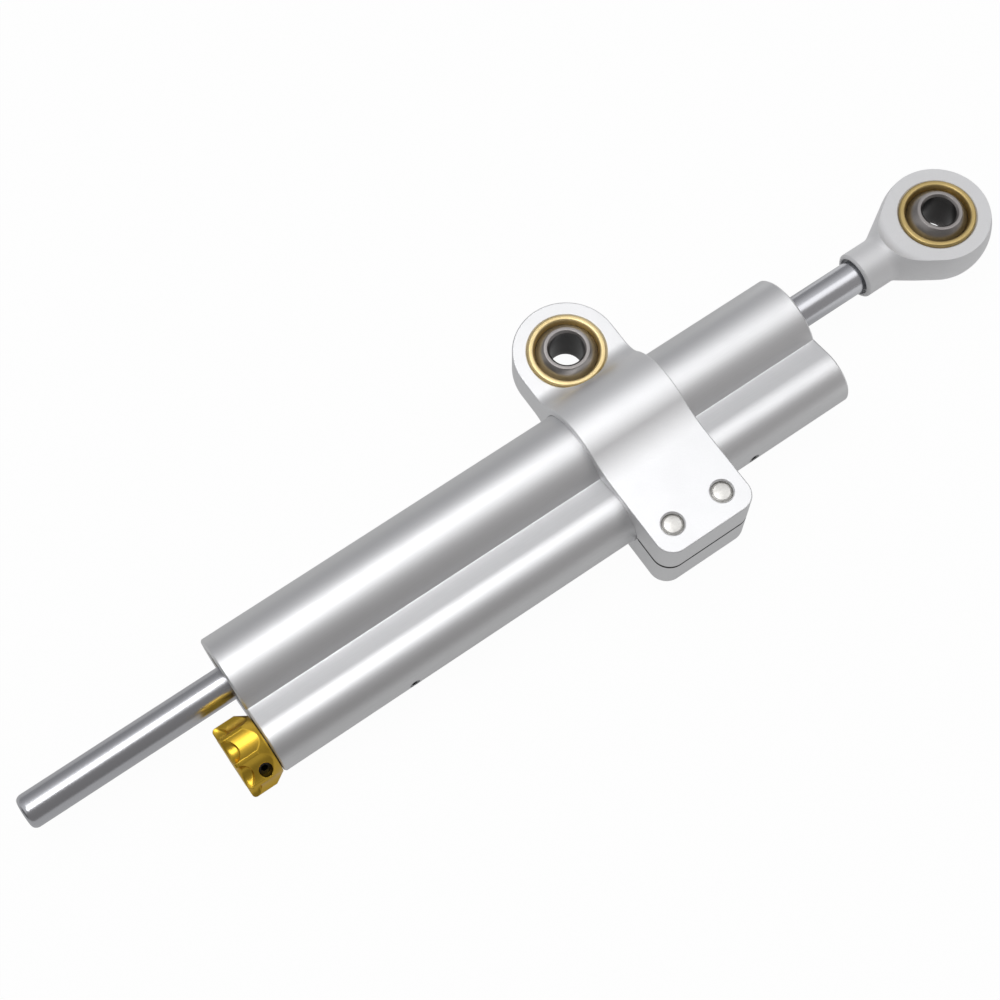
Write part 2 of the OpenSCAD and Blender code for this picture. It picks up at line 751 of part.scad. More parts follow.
module adjuster_knob() {
    back = -knob_gap;
    front = back - knob_len;
    taper_start = back - 2.6;
    rear_r = knob_r - 1.4;
    color([0.83, 0.66, 0.12]) in_place() on_side_axis() difference() {
        turned() polygon([[0, front], [knob_r - 0.5, front], [knob_r, front + 0.5], [knob_r, taper_start],
                          [rear_r, back - 0.3], [rear_r - 0.3, back], [0, back]]);
        for (i = [0:knob_flutes - 1])
            rotate([knob_phase + (i + 0.5) * 360 / knob_flutes, 0, 0]) {
                flute_cutter(flute_floor, front - cut, back + cut);
                intersection() {
                    flute_cutter(scoop_floor, front - cut, front + scoop_len + cut);
                    translate([front, 0, 0]) rotate([-90, 0, 0])
                        cylinder(r = scoop_len, h = 2 * knob_r);
                }
            }
        bar(spindle_r + seat_play, front - cut, back + cut);
        rotate([grub_angle, 0, 0]) translate([back - grub_inset, 0, 0]) rotate([-90, 0, 0])
            cylinder(d = grub_dia + 2 * seat_play, h = knob_r + cut, $fn = 32);
        for (i = [0:11])
            rotate([i * 30, 0, 0]) translate([back + detent_ball_r - 0.1, detent_radius, 0])
                sphere(r = detent_ball_r + 0.05, $fn = 24);
    }
}

module knob_grub_screw() {
    floor_r = spindle_r + seat_play;
    len = flute_floor - floor_r - 0.6;
    color([0.07, 0.07, 0.07]) in_place() on_side_axis() rotate([grub_angle, 0, 0])
        translate([-knob_gap - grub_inset, floor_r, 0]) rotate([-90, 0, 0]) difference() {
            cylinder(d = grub_dia, h = len, $fn = 32);
            translate([0, 0, len - 1.5]) cylinder(d = 1.73, h = 1.5 + cut, $fn = 6);
        }
}

// Spindle: knob shank, thrust flange and drive screw
module adjuster_spindle() {
    front = -knob_gap - knob_len + 0.6;
    flange_start = hex_start + seat_play;
    flange_end = flange_start + 1.4;
    flange_r = needle_hex / 2 - 0.15;
    drive_r = drive_dia / 2;
    tip = needle_head_start + needle_head_len + 1.2;
    color([0.75, 0.75, 0.76]) in_place() on_side_axis() difference() {
        turned() polygon([[0, front], [spindle_r - 0.4, front], [spindle_r, front + 0.4],
                          [spindle_r, flange_start], [flange_r, flange_start], [flange_r, flange_end],
                          [drive_r, flange_end], [drive_r, tip - 0.5], [drive_r - 0.5, tip], [0, tip]]);
        translate([front - cut, -0.5, -spindle_r]) cube([0.9 + cut, 1, spindle_dia]);
    }
}

// Gland bush: screws into the side barrel, holds the spindle and guides the needle's hexagon
module adjuster_gland() {
    inner = spindle_r + rod_play;
    outer_floor = gland_r - gland_ring_wire;
    outer_end = gland_ring_start + groove_ratio * gland_ring_wire;
    inner_floor = inner + spindle_ring_wire;
    inner_end = spindle_ring_start + groove_ratio * spindle_ring_wire;
    color([0.74, 0.72, 0.66]) in_place() on_side_axis() difference() {
        turned() polygon([
            [inner, 0], [gland_r - 0.3, 0], [gland_r, 0.3], [gland_r, gland_ring_start],
            [outer_floor, gland_ring_start], [outer_floor, outer_end], [gland_r, outer_end],
            [gland_r, gland_len], [inner, gland_len], [inner, inner_end], [inner_floor, inner_end],
            [inner_floor, spindle_ring_start], [inner, spindle_ring_start]
        ]);
        translate([hex_start, 0, 0]) rotate([0, 90, 0])
            cylinder(d = (needle_hex + 2 * hex_play) / cos(30), h = gland_len, $fn = 6);
        rotate([detent_angle, 0, 0]) translate([-cut, detent_radius, 0]) rotate([0, 90, 0])
            cylinder(r = detent_ball_r + seat_play, h = detent_hole_depth + cut, $fn = 24);
    }
}

module gland_o_ring() {
    color([0.08, 0.08, 0.08]) in_place() on_side_axis()
        o_ring(gland_r - gland_ring_wire / 2, gland_ring_wire - 2 * seat_play,
               gland_ring_start + groove_ratio / 2 * gland_ring_wire);
}

module spindle_o_ring() {
    color([0.08, 0.08, 0.08]) in_place() on_side_axis()
        o_ring(spindle_r + rod_play + spindle_ring_wire / 2, spindle_ring_wire - 2 * seat_play,
               spindle_ring_start + groove_ratio / 2 * spindle_ring_wire);
}

module metering_needle() {
    head_end = needle_head_start + needle_head_len;
    cone_start = orifice_start - 3;
    collar_r = needle_bore_r + 0.4;
    color([0.8, 0.8, 0.78]) in_place() on_side_axis() difference() {
        union() {
            translate([needle_head_start, 0, 0]) rotate([0, 90, 0])
                cylinder(d = needle_hex / cos(30), h = needle_head_len, $fn = 6);
            turned() polygon([[0, head_end - cut], [collar_r, head_end - cut], [collar_r, head_end + 2.4],
                              [needle_stem_r, head_end + 3.4], [needle_stem_r, cone_start],
                              [0.5, cone_start + 5], [0, cone_start + 5]]);
        }
        bar(drive_dia / 2 + thread_play, needle_head_start - cut, head_end + 2);
    }
}

module detent_ball() {
    color([0.75, 0.75, 0.77]) in_place() on_side_axis() rotate([detent_angle, 0, 0])
        translate([detent_ball_r - knob_gap - detent_lift, detent_radius, 0])
            sphere(r = detent_ball_r, $fn = 24);
}

// Coil of round wire along X, drawn as a swept hexagon
module coil(coil_r, wire_r, len, turns) {
    per_turn = 14;
    count = turns * per_turn;
    sides = 6;
    points = [for (i = [0:count], j = [0:sides - 1])
              let (a = i * 360 / per_turn, b = j * 360 / sides, r = coil_r + wire_r * cos(b))
              [i * len / count + wire_r * sin(b), r * cos(a), r * sin(a)]];
    walls = [for (i = [0:count - 1], j = [0:sides - 1])
             let (k = (j + 1) % sides)
             [i * sides + j, i * sides + k, (i + 1) * sides + k, (i + 1) * sides + j]];
    caps = [[for (j = [sides - 1:-1:0]) j], [for (j = [0:sides - 1]) count * sides + j]];
    polyhedron(points, concat(walls, caps));
}

module detent_spring() {
    wire_r = 0.13;
    coil_r = detent_ball_r - wire_r - 0.04;
    start = 2 * detent_ball_r - knob_gap - detent_lift + wire_r + 0.02;
    len = detent_hole_depth - start - wire_r - 0.03;
    color([0.6, 0.6, 0.6]) in_place() on_side_axis() rotate([detent_angle, 0, 0])
        translate([start, detent_radius, 0]) coil(coil_r, wire_r, len, 4);
}

damper_body();
rod_guide_left();
rod_guide_right();
guide_o_rings();
rod_seals();
rod_wipers();
retaining_rings();
side_plugs();
gallery_end_plug();
piston_rod();
piston_snap_rings();
piston();
piston_ring();
piston_o_ring();
rod_eye();
rod_eye_race();
rod_eye_ball();
clamp();
clamp_bolts();
clamp_race();
clamp_ball();
adjuster_knob();
knob_grub_screw();
adjuster_spindle();
spindle_o_ring();
metering_needle();
adjuster_gland();
gland_o_ring();
detent_ball();
detent_spring();
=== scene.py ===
"""Looks of a linear motorcycle steering damper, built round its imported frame.

Sizes are in millimetres. Most pieces are drawn in the cylinder's own frame: X = 0 is the
adjuster's end of the body, and the main barrel lies on the X axis. Each mesh is then moved
to the shared frame, which is in metres.
"""

import logging
import math
from dataclasses import dataclass
from enum import Enum
from typing import Iterable, Optional, Sequence, Union

import bmesh
import bpy
from mathutils import Matrix, Quaternion, Vector


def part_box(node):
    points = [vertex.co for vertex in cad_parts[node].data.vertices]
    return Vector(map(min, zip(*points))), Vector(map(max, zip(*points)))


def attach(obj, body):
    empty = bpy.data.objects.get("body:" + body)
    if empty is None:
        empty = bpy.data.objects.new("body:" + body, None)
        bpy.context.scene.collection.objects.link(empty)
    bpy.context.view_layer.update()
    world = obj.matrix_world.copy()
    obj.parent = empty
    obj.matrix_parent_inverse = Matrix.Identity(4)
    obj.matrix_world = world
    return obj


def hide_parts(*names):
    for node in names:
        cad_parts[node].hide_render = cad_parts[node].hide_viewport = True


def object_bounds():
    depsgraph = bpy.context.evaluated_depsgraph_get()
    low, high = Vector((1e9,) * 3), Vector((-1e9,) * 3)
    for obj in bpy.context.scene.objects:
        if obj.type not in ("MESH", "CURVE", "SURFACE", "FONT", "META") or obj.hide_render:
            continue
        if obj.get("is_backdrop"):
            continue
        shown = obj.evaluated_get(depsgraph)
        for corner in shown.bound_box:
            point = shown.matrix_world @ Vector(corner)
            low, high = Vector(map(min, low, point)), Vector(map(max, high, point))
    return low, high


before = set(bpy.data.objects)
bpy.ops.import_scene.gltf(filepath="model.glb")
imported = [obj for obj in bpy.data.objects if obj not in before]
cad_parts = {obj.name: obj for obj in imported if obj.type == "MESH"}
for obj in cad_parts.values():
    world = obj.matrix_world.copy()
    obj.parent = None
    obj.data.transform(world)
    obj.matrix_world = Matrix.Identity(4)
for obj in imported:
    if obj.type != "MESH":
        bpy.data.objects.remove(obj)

LOG = logging.getLogger("steering_damper")

Pair = tuple[float, float]
Colour = tuple[float, float, float]
Spot = tuple[float, float, float]
Value = Union[float, "Wire"]

# Metres in a millimetre
MM = 0.001
# How far cutters reach past what they cut, in millimetres
CUT = 1.0
# Radius below which a point of a lathe profile is on the axis, in millimetres
ON_AXIS = 1e-6
# Distance within which points become one, in metres
MERGE = 1e-7
# Corners flatter than this aren't rounded, in degrees
FLAT_CORNER = 176.0
# Largest share of an edge that the rounding of a corner takes
EDGE_SHARE = 0.45

# Noises: waves per millimetre, number of layers and strength of the finer ones
CLOUD = (0.16, 3.0, 0.55)
SPECK = (1.7, 4.0, 0.7)
BLOOM = (0.8, 4.0, 0.6)
PORES = (9.0, 2.0, 0.5)

# Tool marks: their scale on each axis, and number and strength of the noise's layers
DRAWN_SCALE = (0.04, 1.0, 1.0)
FINE_LAYERS = (3.0, 0.6)
TURNED_SCALE = (0.0, 1.0, 1.0)
TURNED_LAYERS = (2.0, 0.7)

# Values of the noises between which handling marks and tool marks fade in
CLOUD_FADE = (0.35, 0.7)
SPECK_FADE = (0.6, 0.85)
MARK_FADE = (0.3, 0.8)
# Strength of the specks next to the clouds
SPECK_SHARE = 0.6
# How much handling marks and tool marks darken the colour
SMUDGE_TINT = 4.0
MARK_TINT = 0.25

# Shares of open surroundings between which the painted shade in a hole fades out
HOLLOW_SHADE_FADE = (0.45, 0.95)
# Shares of a slit's half width between which the shade at its edges fades out
SLIT_FADE = (0.7, 1.2)
# Length over which that shade ends, in millimetres
SLIT_END = 1.0
# Rays that look for open surroundings and for edges
HOLLOW_SHADE_RAYS = 8
EDGE_RAYS = 6
# Weight of large faces in the shading of their edges, from 1 to 100, where 50 is even
FLAT_WEIGHT = 80

WHITE: Colour = (1.0, 1.0, 1.0)
# Colours of the painted shade inside hollows and along a slit
PAINTED_HOLLOW_SHADE: Colour = (0.022, 0.021, 0.021)
SLIT_SHADE: Colour = (0.10, 0.10, 0.10)


class Axis(Enum):
    """Axis about which a profile is turned."""

    ALONG = 0
    ACROSS = 1
    UP = 2

    def aligned(self, spot: Sequence[float]) -> "Spot":
        """Returns the spot with its first number on this axis and the next two after it."""
        return tuple(spot[(i - self.value) % 3] for i in range(3))


class Grain(Enum):
    """Direction of the fine tool marks of a finish."""

    DRAWN = "drawn"
    BLASTED = "blasted"
    TURNED = "turned"


# Shader work


class Wire:
    """Output of a node, on which Python's operators add Math nodes."""

    def __init__(self, paint: "Paint", socket: bpy.types.NodeSocket) -> None:
        """Wraps an output socket of a tree."""
        self.paint = paint
        self.socket = socket

    def __add__(self, other: Value) -> "Wire":
        """Returns the sum."""
        return self.paint.maths("ADD", self, other)

    def __rsub__(self, other: Value) -> "Wire":
        """Returns the difference from a number."""
        return self.paint.maths("SUBTRACT", other, self)

    def __mul__(self, other: Value) -> "Wire":
        """Returns the product."""
        return self.paint.maths("MULTIPLY", self, other)

    def ramp(self, low: float, high: float) -> "Wire":
        """Returns a value that eases from 0 at low to 1 at high."""
        settings = {"interpolation_type": "SMOOTHSTEP", "clamp": True}
        sockets = {"Value": self, "From Min": low, "From Max": high}
        return self.paint.node("ShaderNodeMapRange", settings, sockets)


class Paint:
    """Node tree of one material or of the world."""

    def __init__(self, tree: bpy.types.NodeTree) -> None:
        """Empties the tree, to be filled."""
        self.tree = tree
        tree.nodes.clear()

    @classmethod
    def material(cls, name: str) -> tuple[bpy.types.Material, "Paint"]:
        """Returns a new material and its empty tree."""
        made = bpy.data.materials.new(name)
        made.use_nodes = True
        return made, cls(made.node_tree)

    def node(
        self,
        kind: str,
        settings: Optional[dict[str, object]] = None,
        sockets: Optional[dict[Union[str, int], object]] = None,
        output: Union[str, int] = 0,
    ) -> Optional[Wire]:
        """Adds a node.

        Args:
            kind: Type of the node.
            settings: The node's own properties, which are set first.
            sockets: Values or links of its sockets, by name or number.
            output: The output that is returned.

        Returns:
            The chosen output, or nothing from a node without outputs.
        """
        made = self.tree.nodes.new(kind)
        for name, setting in (settings or {}).items():
            setattr(made, name, setting)
        for name, value in (sockets or {}).items():
            socket = made.inputs[name]
            if isinstance(value, Wire):
                self.tree.links.new(value.socket, socket)
            elif isinstance(value, tuple) and len(value) == 3 and socket.type == "RGBA":
                socket.default_value = (*value, 1.0)
            else:
                socket.default_value = value
        return Wire(self, made.outputs[output]) if made.outputs else None

    def show(self, shader: Wire, kind: str = "Material") -> None:
        """Ends the tree with its shader."""
        self.node(f"ShaderNodeOutput{kind}", None, {"Surface": shader})

    def maths(self, operation: str, first: Value, second: Value) -> Wire:
        """Returns the result of a Math node."""
        return self.node("ShaderNodeMath", {"operation": operation}, {0: first, 1: second})

    def vector(self, operation: str, first: object, second: object) -> Wire:
        """Returns the vector that a Vector Math node gives."""
        return self.node("ShaderNodeVectorMath", {"operation": operation}, {0: first, 1: second})

    def blend(self, factor: Value, first: object, second: object) -> Wire:
        """Returns a mix of two colours, by the share of the second."""
        sockets = {0: factor, 6: first, 7: second}
        return self.node("ShaderNodeMix", {"data_type": "RGBA"}, sockets, 2)

    def place(self) -> Wire:
        """Returns the position on the piece, in millimetres."""
        spot = self.node("ShaderNodeTexCoord", output="Object")
        return self.vector("MULTIPLY", spot, (1 / MM, 1 / MM, 1 / MM))

    def part(self, vector: Wire, axis: int) -> Wire:
        """Returns one part of a vector, 0 for X to 2 for Z."""
        return self.node("ShaderNodeSeparateXYZ", None, {0: vector}, axis)

    def ray(self, *kinds: str) -> list[Wire]:
        """Returns whether the ray is of each kind."""
        path = self.tree.nodes.new("ShaderNodeLightPath")
        return [Wire(self, path.outputs[f"Is {kind} Ray"]) for kind in kinds]

    def noise(self, place: Wire, scale: float, detail: float, rough: float) -> Wire:
        """Returns noise from 0 to 1, by waves per millimetre and number and strength of layers."""
        sockets = {"Vector": place, "Scale": scale, "Detail": detail, "Roughness": rough}
        return self.node("ShaderNodeTexNoise", {"noise_dimensions": "3D"}, sockets)

    def stretched(self, place: Wire, scale: Sequence[float]) -> Wire:
        """Returns the position scaled on each axis."""
        return self.vector("MULTIPLY", place, tuple(scale))


@dataclass(frozen=True)
class Finish:
    """Metal finish with its tool marks, handling marks and worn edges, and painted shade in hollows
    and along a slit.
    """

    name: str
    colour: Colour
    shade: Colour
    roughness: float
    grain: Grain = Grain.BLASTED
    centre: Spot = (0.0, 0.0, 0.0)
    grain_scale: float = 6.0
    grain_depth: float = 0.004
    grain_spread: float = 0.06
    smudge: float = 0.05
    metallic: float = 1.0
    edge: float = 0.0
    # Reach of the painted shade in hollows, in millimetres
    hollow_shade_reach: float = 0.0
    # Half width and end of the painted shade along a slit, in millimetres
    slit_shade_band: Optional[Pair] = None

    def marks(self, paint: Paint, place: Wire) -> Wire:
        """Lays the tool marks.

        Args:
            paint: The material's tree.
            place: Position on the piece, in millimetres.

        Returns:
            Noise that follows the marks, from 0 to 1.
        """
        if self.grain is Grain.DRAWN:
            drawn = paint.stretched(place, DRAWN_SCALE)
            return paint.noise(drawn, self.grain_scale, *FINE_LAYERS)
        if self.grain is Grain.BLASTED:
            return paint.noise(place, self.grain_scale, *FINE_LAYERS)
        local = paint.vector("SUBTRACT", place, self.centre)
        flat = paint.stretched(local, TURNED_SCALE)
        radius = paint.node("ShaderNodeVectorMath", {"operation": "LENGTH"}, {0: flat}, 1)
        lines = paint.node("ShaderNodeCombineXYZ", None, {0: radius, 1: paint.part(local, 0)})
        return paint.noise(lines, self.grain_scale, *TURNED_LAYERS)

    def painted_shade(self, paint: Paint, place: Wire, colour: Wire) -> Wire:
        """Paints shade into the colour inside hollows and along a slit.

        Args:
            paint: The material's tree.
            place: Position on the piece, in millimetres.
            colour: The clean colour.

        Returns:
            The colour with painted shade inside a hole and a painted dark line along a slit.
        """
        # Painted shade: the colour darkens to near-black where ambient occlusion finds the
        # surroundings closed, as inside a bore
        if self.hollow_shade_reach > 0:
            open_share = paint.node(
                "ShaderNodeAmbientOcclusion",
                {"samples": HOLLOW_SHADE_RAYS, "only_local": True},
                {"Distance": self.hollow_shade_reach * MM},
                "AO",
            )
            colour = paint.blend(open_share.ramp(*HOLLOW_SHADE_FADE), PAINTED_HOLLOW_SHADE, colour)
        # Painted shade: a dark band along the slit, which fades out at SLIT_FADE of its half width
        # and ends over SLIT_END before limit
        if self.slit_shade_band is not None:
            half, limit = self.slit_shade_band
            height = paint.part(place, 2)
            dark, clear = ((share * half) ** 2 for share in SLIT_FADE)
            near = 1.0 - (height * height).ramp(dark, clear)
            there = 1.0 - paint.part(place, 1).ramp(limit - SLIT_END, limit)
            colour = paint.blend(near * there, colour, SLIT_SHADE)
        return colour

    def make(self) -> bpy.types.Material:
        """Builds the material.

        Returns:
            The material.
        """
        material, paint = Paint.material(self.name)
        place = paint.place()
        marks = self.marks(paint, place)
        cloud = paint.noise(place, *CLOUD)
        speck = paint.noise(place, *SPECK)
        handled = cloud.ramp(*CLOUD_FADE) * self.smudge
        handled += speck.ramp(*SPECK_FADE) * (self.smudge * SPECK_SHARE)
        tint = handled * SMUDGE_TINT + marks.ramp(*MARK_FADE) * MARK_TINT
        colour = paint.blend(tint, self.colour, self.shade)
        colour = self.painted_shade(paint, place, colour)
        roughness = marks * (2 * self.grain_spread) + (self.roughness - self.grain_spread) + handled
        rounded = {}
        if self.edge > 0:
            rounded["Normal"] = paint.node(
                "ShaderNodeBevel", {"samples": EDGE_RAYS}, {"Radius": self.edge * MM}
            )
        relief = {}
        if self.grain_depth > 0:
            relief["Normal"] = paint.node(
                "ShaderNodeBump",
                None,
                {"Height": marks, "Strength": 1.0, "Distance": self.grain_depth * MM, **rounded},
            )
        shader = paint.node(
            "ShaderNodeBsdfPrincipled",
            None,
            {
                "Base Color": colour,
                "Metallic": self.metallic,
                "Roughness": roughness,
                **relief,
            },
        )
        paint.show(shader)
        return material


@dataclass(frozen=True)
class Rubber:
    """Soft moulded finish of a seal."""

    name: str
    colour: Colour
    roughness: float = 0.55
    roughness_spread: float = 0.1
    pale_gain: float = 1.6
    pale_lift: float = 0.02
    bloom_fade: Pair = (0.45, 0.75)
    bloom_share: float = 0.5
    relief: float = 0.01

    def make(self) -> bpy.types.Material:
        """Builds the material.

        Returns:
            The material.
        """
        material, paint = Paint.material(self.name)
        place = paint.place()
        bloom = paint.noise(place, *BLOOM)
        pores = paint.noise(place, *PORES)
        pale = tuple(min(1.0, c * self.pale_gain + self.pale_lift) for c in self.colour)
        dusty = bloom.ramp(*self.bloom_fade) * self.bloom_share
        roughness = bloom * (2 * self.roughness_spread) + (self.roughness - self.roughness_spread)
        shader = paint.node(
            "ShaderNodeBsdfPrincipled",
            None,
            {
                "Base Color": paint.blend(dusty, self.colour, pale),
                "Roughness": roughness,
                "Normal": paint.node(
                    "ShaderNodeBump", None, {"Height": pores, "Distance": self.relief * MM}
                ),
            },
        )
        paint.show(shader)
        return material


# Mesh work


class Bench:
    """Mesh work that the pieces share. Points are in millimetres."""

    @staticmethod
    def arc(centre: Pair, radius: float, start: float, end: float, steps: int) -> list[Pair]:
        """Returns the points of an arc from one angle to another, in degrees, with both ends."""
        turns = [math.radians(start + (end - start) * i / steps) for i in range(steps + 1)]
        x, y = centre
        return [(x + radius * math.cos(t), y + radius * math.sin(t)) for t in turns]

    @staticmethod
    def eased(points: Sequence[Pair], radius: float, steps: int = 4) -> list[Pair]:
        """Rounds the corners of an open line.

        Args:
            points: Corners of the line.
            radius: Radius of the rounding, less where an edge is short.
            steps: Chords in each rounding.

        Returns:
            The rounded line.
        """
        eased = [points[0]]
        for last, here, following in zip(points, points[1:], points[2:]):
            corner = Vector(here)
            before = Vector(last) - corner
            after = Vector(following) - corner
            half = before.angle(after) / 2
            if half > math.radians(FLAT_CORNER) / 2:
                eased.append(here)
                continue
            short = EDGE_SHARE * min(before.length, after.length)
            back = min(radius / math.tan(half), short)
            before.normalize()
            after.normalize()
            reach = back * math.tan(half) / math.sin(half)
            middle = corner + (before + after).normalized() * reach
            arm = corner + before * back - middle
            sweep = arm.angle_signed(corner + after * back - middle)
            for k in range(steps + 1):
                turn = -sweep * k / steps
                c, s = math.cos(turn), math.sin(turn)
                eased.append((middle.x + arm.x * c - arm.y * s, middle.y + arm.x * s + arm.y * c))
        return eased + [points[-1]]

    @staticmethod
    def solid(
        name: str, points: Iterable[Sequence[float]], faces: Iterable[Sequence[int]], place: Matrix
    ) -> bpy.types.Object:
        """Makes a closed mesh.

        Args:
            name: Name of the piece.
            points: Its points, in millimetres.
            faces: Its faces.
            place: Move to the shared frame, in metres.

        Returns:
            The piece, with its normals outward.
        """
        mesh = bpy.data.meshes.new(name)
        mesh.from_pydata([tuple(p) for p in points], [], [tuple(f) for f in faces])
        mesh.transform(place @ Matrix.Scale(MM, 4))
        shape = bmesh.new()
        shape.from_mesh(mesh)
        bmesh.ops.remove_doubles(shape, verts=shape.verts, dist=MERGE)
        bmesh.ops.recalc_face_normals(shape, faces=shape.faces)
        shape.to_mesh(mesh)
        shape.free()
        made = bpy.data.objects.new(name, mesh)
        bpy.context.scene.collection.objects.link(made)
        return made

    @classmethod
    def turned(
        cls,
        name: str,
        profile: Sequence[Pair],
        place: Matrix,
        axis: Axis = Axis.ALONG,
        sides: int = 160,
        closed: bool = False,
    ) -> bpy.types.Object:
        """Turns a profile of (radius, height) about an axis.

        Args:
            name: Name of the piece.
            profile: The profile; an open one ends on the axis.
            place: Move to the shared frame.
            axis: Axis of the lathe.
            sides: Facets around.
            closed: Whether the profile closes on itself.

        Returns:
            The piece.
        """
        points: list[Spot] = []
        rings: list[list[int]] = []
        for radius, height in profile:
            count = 1 if radius < ON_AXIS else sides
            rings.append(list(range(len(points), len(points) + count)))
            for k in range(count):
                turn = 2 * math.pi * k / sides
                spot = (height, radius * math.cos(turn), radius * math.sin(turn))
                points.append(axis.aligned(spot))
        pairs = list(zip(rings, rings[1:])) + ([(rings[-1], rings[0])] if closed else [])
        faces = []
        for low, high in pairs:
            for k in range(sides):
                n = (k + 1) % sides
                corners = ((low, k), (low, n), (high, n), (high, k))
                face = list(dict.fromkeys(ring[i % len(ring)] for ring, i in corners))
                if len(face) > 2:
                    faces.append(face)
        return cls.solid(name, points, faces, place)

    @staticmethod
    def skin(rings: int, count: int) -> list[Sequence[int]]:
        """Returns the faces between rings of points that follow one another."""
        corners = [(j, (j + 1) % count, (j + 1) % count + count, j + count) for j in range(count)]
        return [tuple(i * count + k for k in quad) for i in range(rings - 1) for quad in corners]

    @classmethod
    def lofted(
        cls, name: str, rings: Sequence[Sequence[Sequence[float]]], place: Matrix
    ) -> bpy.types.Object:
        """Joins rings of equal counts and caps both ends.

        Args:
            name: Name of the piece.
            rings: The rings of points.
            place: Move to the shared frame.

        Returns:
            The piece.
        """
        count = len(rings[0])
        points = [p for ring in rings for p in ring]
        faces = cls.skin(len(rings), count)
        faces.append(range(count))
        faces.append(range((len(rings) - 1) * count, len(rings) * count))
        return cls.solid(name, points, faces, place)

    @staticmethod
    def cut(piece: bpy.types.Object, *cutters: bpy.types.Object) -> None:
        """Cuts solids out of a piece and deletes them.

        Args:
            piece: The piece to cut.
            cutters: The solids that are taken away, one after the other.
        """
        for cutter in cutters:
            step = piece.modifiers.new("cut", "BOOLEAN")
            step.operation = "DIFFERENCE"
            step.solver = "EXACT"
            step.object = cutter
            depsgraph = bpy.context.evaluated_depsgraph_get()
            mesh = bpy.data.meshes.new_from_object(piece.evaluated_get(depsgraph))
            piece.modifiers.clear()
            piece.data = mesh
            bpy.data.objects.remove(cutter)

    @staticmethod
    def smoothed(piece: bpy.types.Object, angle: float) -> None:
        """Shades a piece smooth up to an angle, with flat faces kept flat.

        Args:
            piece: The piece.
            angle: Edges sharper than this stay sharp, in degrees.
        """
        mesh = piece.data
        mesh.shade_smooth()
        mesh.set_sharp_from_angle(angle=math.radians(angle))
        step = piece.modifiers.new("flat_faces", "WEIGHTED_NORMAL")
        step.keep_sharp = True
        step.weight = FLAT_WEIGHT


@dataclass(frozen=True)
class Datum:
    """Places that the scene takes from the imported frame, in millimetres of the shared frame."""

    body_start: float
    body_end: float
    main_y: float
    side_y: float
    barrel_r: float
    side_r: float
    clamp_x: float
    clamp_half: float
    eye: Vector
    rod_eye: Vector
    low_z: float

    @classmethod
    def read(cls) -> "Datum":
        """Reads the places off the CAD nodes.

        Returns:
            The places.
        """
        low, high = (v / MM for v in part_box("damper_body"))
        rod_low, rod_high = (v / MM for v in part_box("piston_rod"))
        spindle_low, spindle_high = (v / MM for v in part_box("adjuster_spindle"))
        clamp_low, clamp_high = (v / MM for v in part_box("clamp"))
        race_low, race_high = (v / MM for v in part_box("clamp_race"))
        eye_low, eye_high = (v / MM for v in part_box("rod_eye_race"))
        main_y = (rod_low.y + rod_high.y) / 2
        side_y = (spindle_low.y + spindle_high.y) / 2
        return cls(
            low.x,
            high.x,
            main_y,
            side_y,
            high.y - main_y,
            side_y - low.y,
            (clamp_low.x + clamp_high.x) / 2,
            (clamp_high.x - clamp_low.x) / 2,
            (race_low + race_high) / 2,
            (eye_low + eye_high) / 2,
            min(clamp_low.z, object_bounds()[0].z / MM),
        )

    @property
    def length(self) -> float:
        """Length of the body."""
        return self.body_end - self.body_start

    @property
    def cylinder(self) -> Matrix:
        """Move from the cylinder's frame to the shared frame, in metres."""
        return Matrix.Translation(Vector((self.body_start, self.main_y, 0.0)) * MM)

    @property
    def section(self) -> "Section":
        """Cross section of the body."""
        return Section(self.barrel_r, self.side_r, self.main_y - self.side_y)


@dataclass(frozen=True)
class Section:
    """Cross section of the twin-barrel body, as (y, z)."""

    barrel_r: float
    side_r: float
    pitch: float
    waist: float = 5.7
    crease_r: float = 0.5
    trim_share: float = 0.4
    near_share: float = 0.45
    barrel_steps: int = 176
    side_steps: int = 112

    def ring(self, grow: float) -> list[Pair]:
        """Draws the outline, grown all round.

        Args:
            grow: Growth, negative inward.

        Returns:
            The closed outline; the count is the same for any growth.
        """
        big, small = self.barrel_r + grow, self.side_r + grow
        foot = Vector((-math.sqrt(big * big - (self.waist + grow) ** 2), self.waist + grow))
        reach = Vector((foot.x + self.pitch, foot.y))
        lean = math.degrees(math.atan2(reach.y, reach.x) + math.acos(small / reach.length))
        start = math.degrees(math.atan2(foot.y, foot.x))
        # Where a small fillet of the crease touches the barrel
        trim = math.degrees(self.crease_r / big) * self.trim_share
        barrel = Bench.arc((0, 0), big, start - trim, trim - start, self.barrel_steps)
        side = Bench.arc((-self.pitch, 0), small, 360 - lean, lean, self.side_steps)
        tip = Vector(side[-1])
        near = foot + (tip - foot).normalized() * self.crease_r * self.near_share
        ease = self.bend(near, foot, Vector(barrel[0]))
        lower = [(y, -z) for y, z in reversed(ease)]
        return barrel + lower + side + ease

    @staticmethod
    def bend(first: Vector, corner: Vector, last: Vector, steps: int = 5) -> list[Pair]:
        """Draws the small curve in the crease, without its last point.

        Args:
            first: Where it leaves the flank.
            corner: The sharp corner that it rounds.
            last: Where it meets the barrel.
            steps: Chords in the curve.

        Returns:
            The points.
        """
        points = []
        for k in range(steps):
            t = k / steps
            spot = first * (1 - t) ** 2 + corner * (2 * t * (1 - t)) + last * t**2
            points.append((spot.x, spot.y))
        return points

    def loft(self, name: str, stations: Sequence[Pair], place: Matrix) -> bpy.types.Object:
        """Returns the outline swept along X, by pairs of station and growth."""
        rings = [[(x, y, z) for y, z in self.ring(grow)] for x, grow in stations]
        return Bench.lofted(name, rings, place)


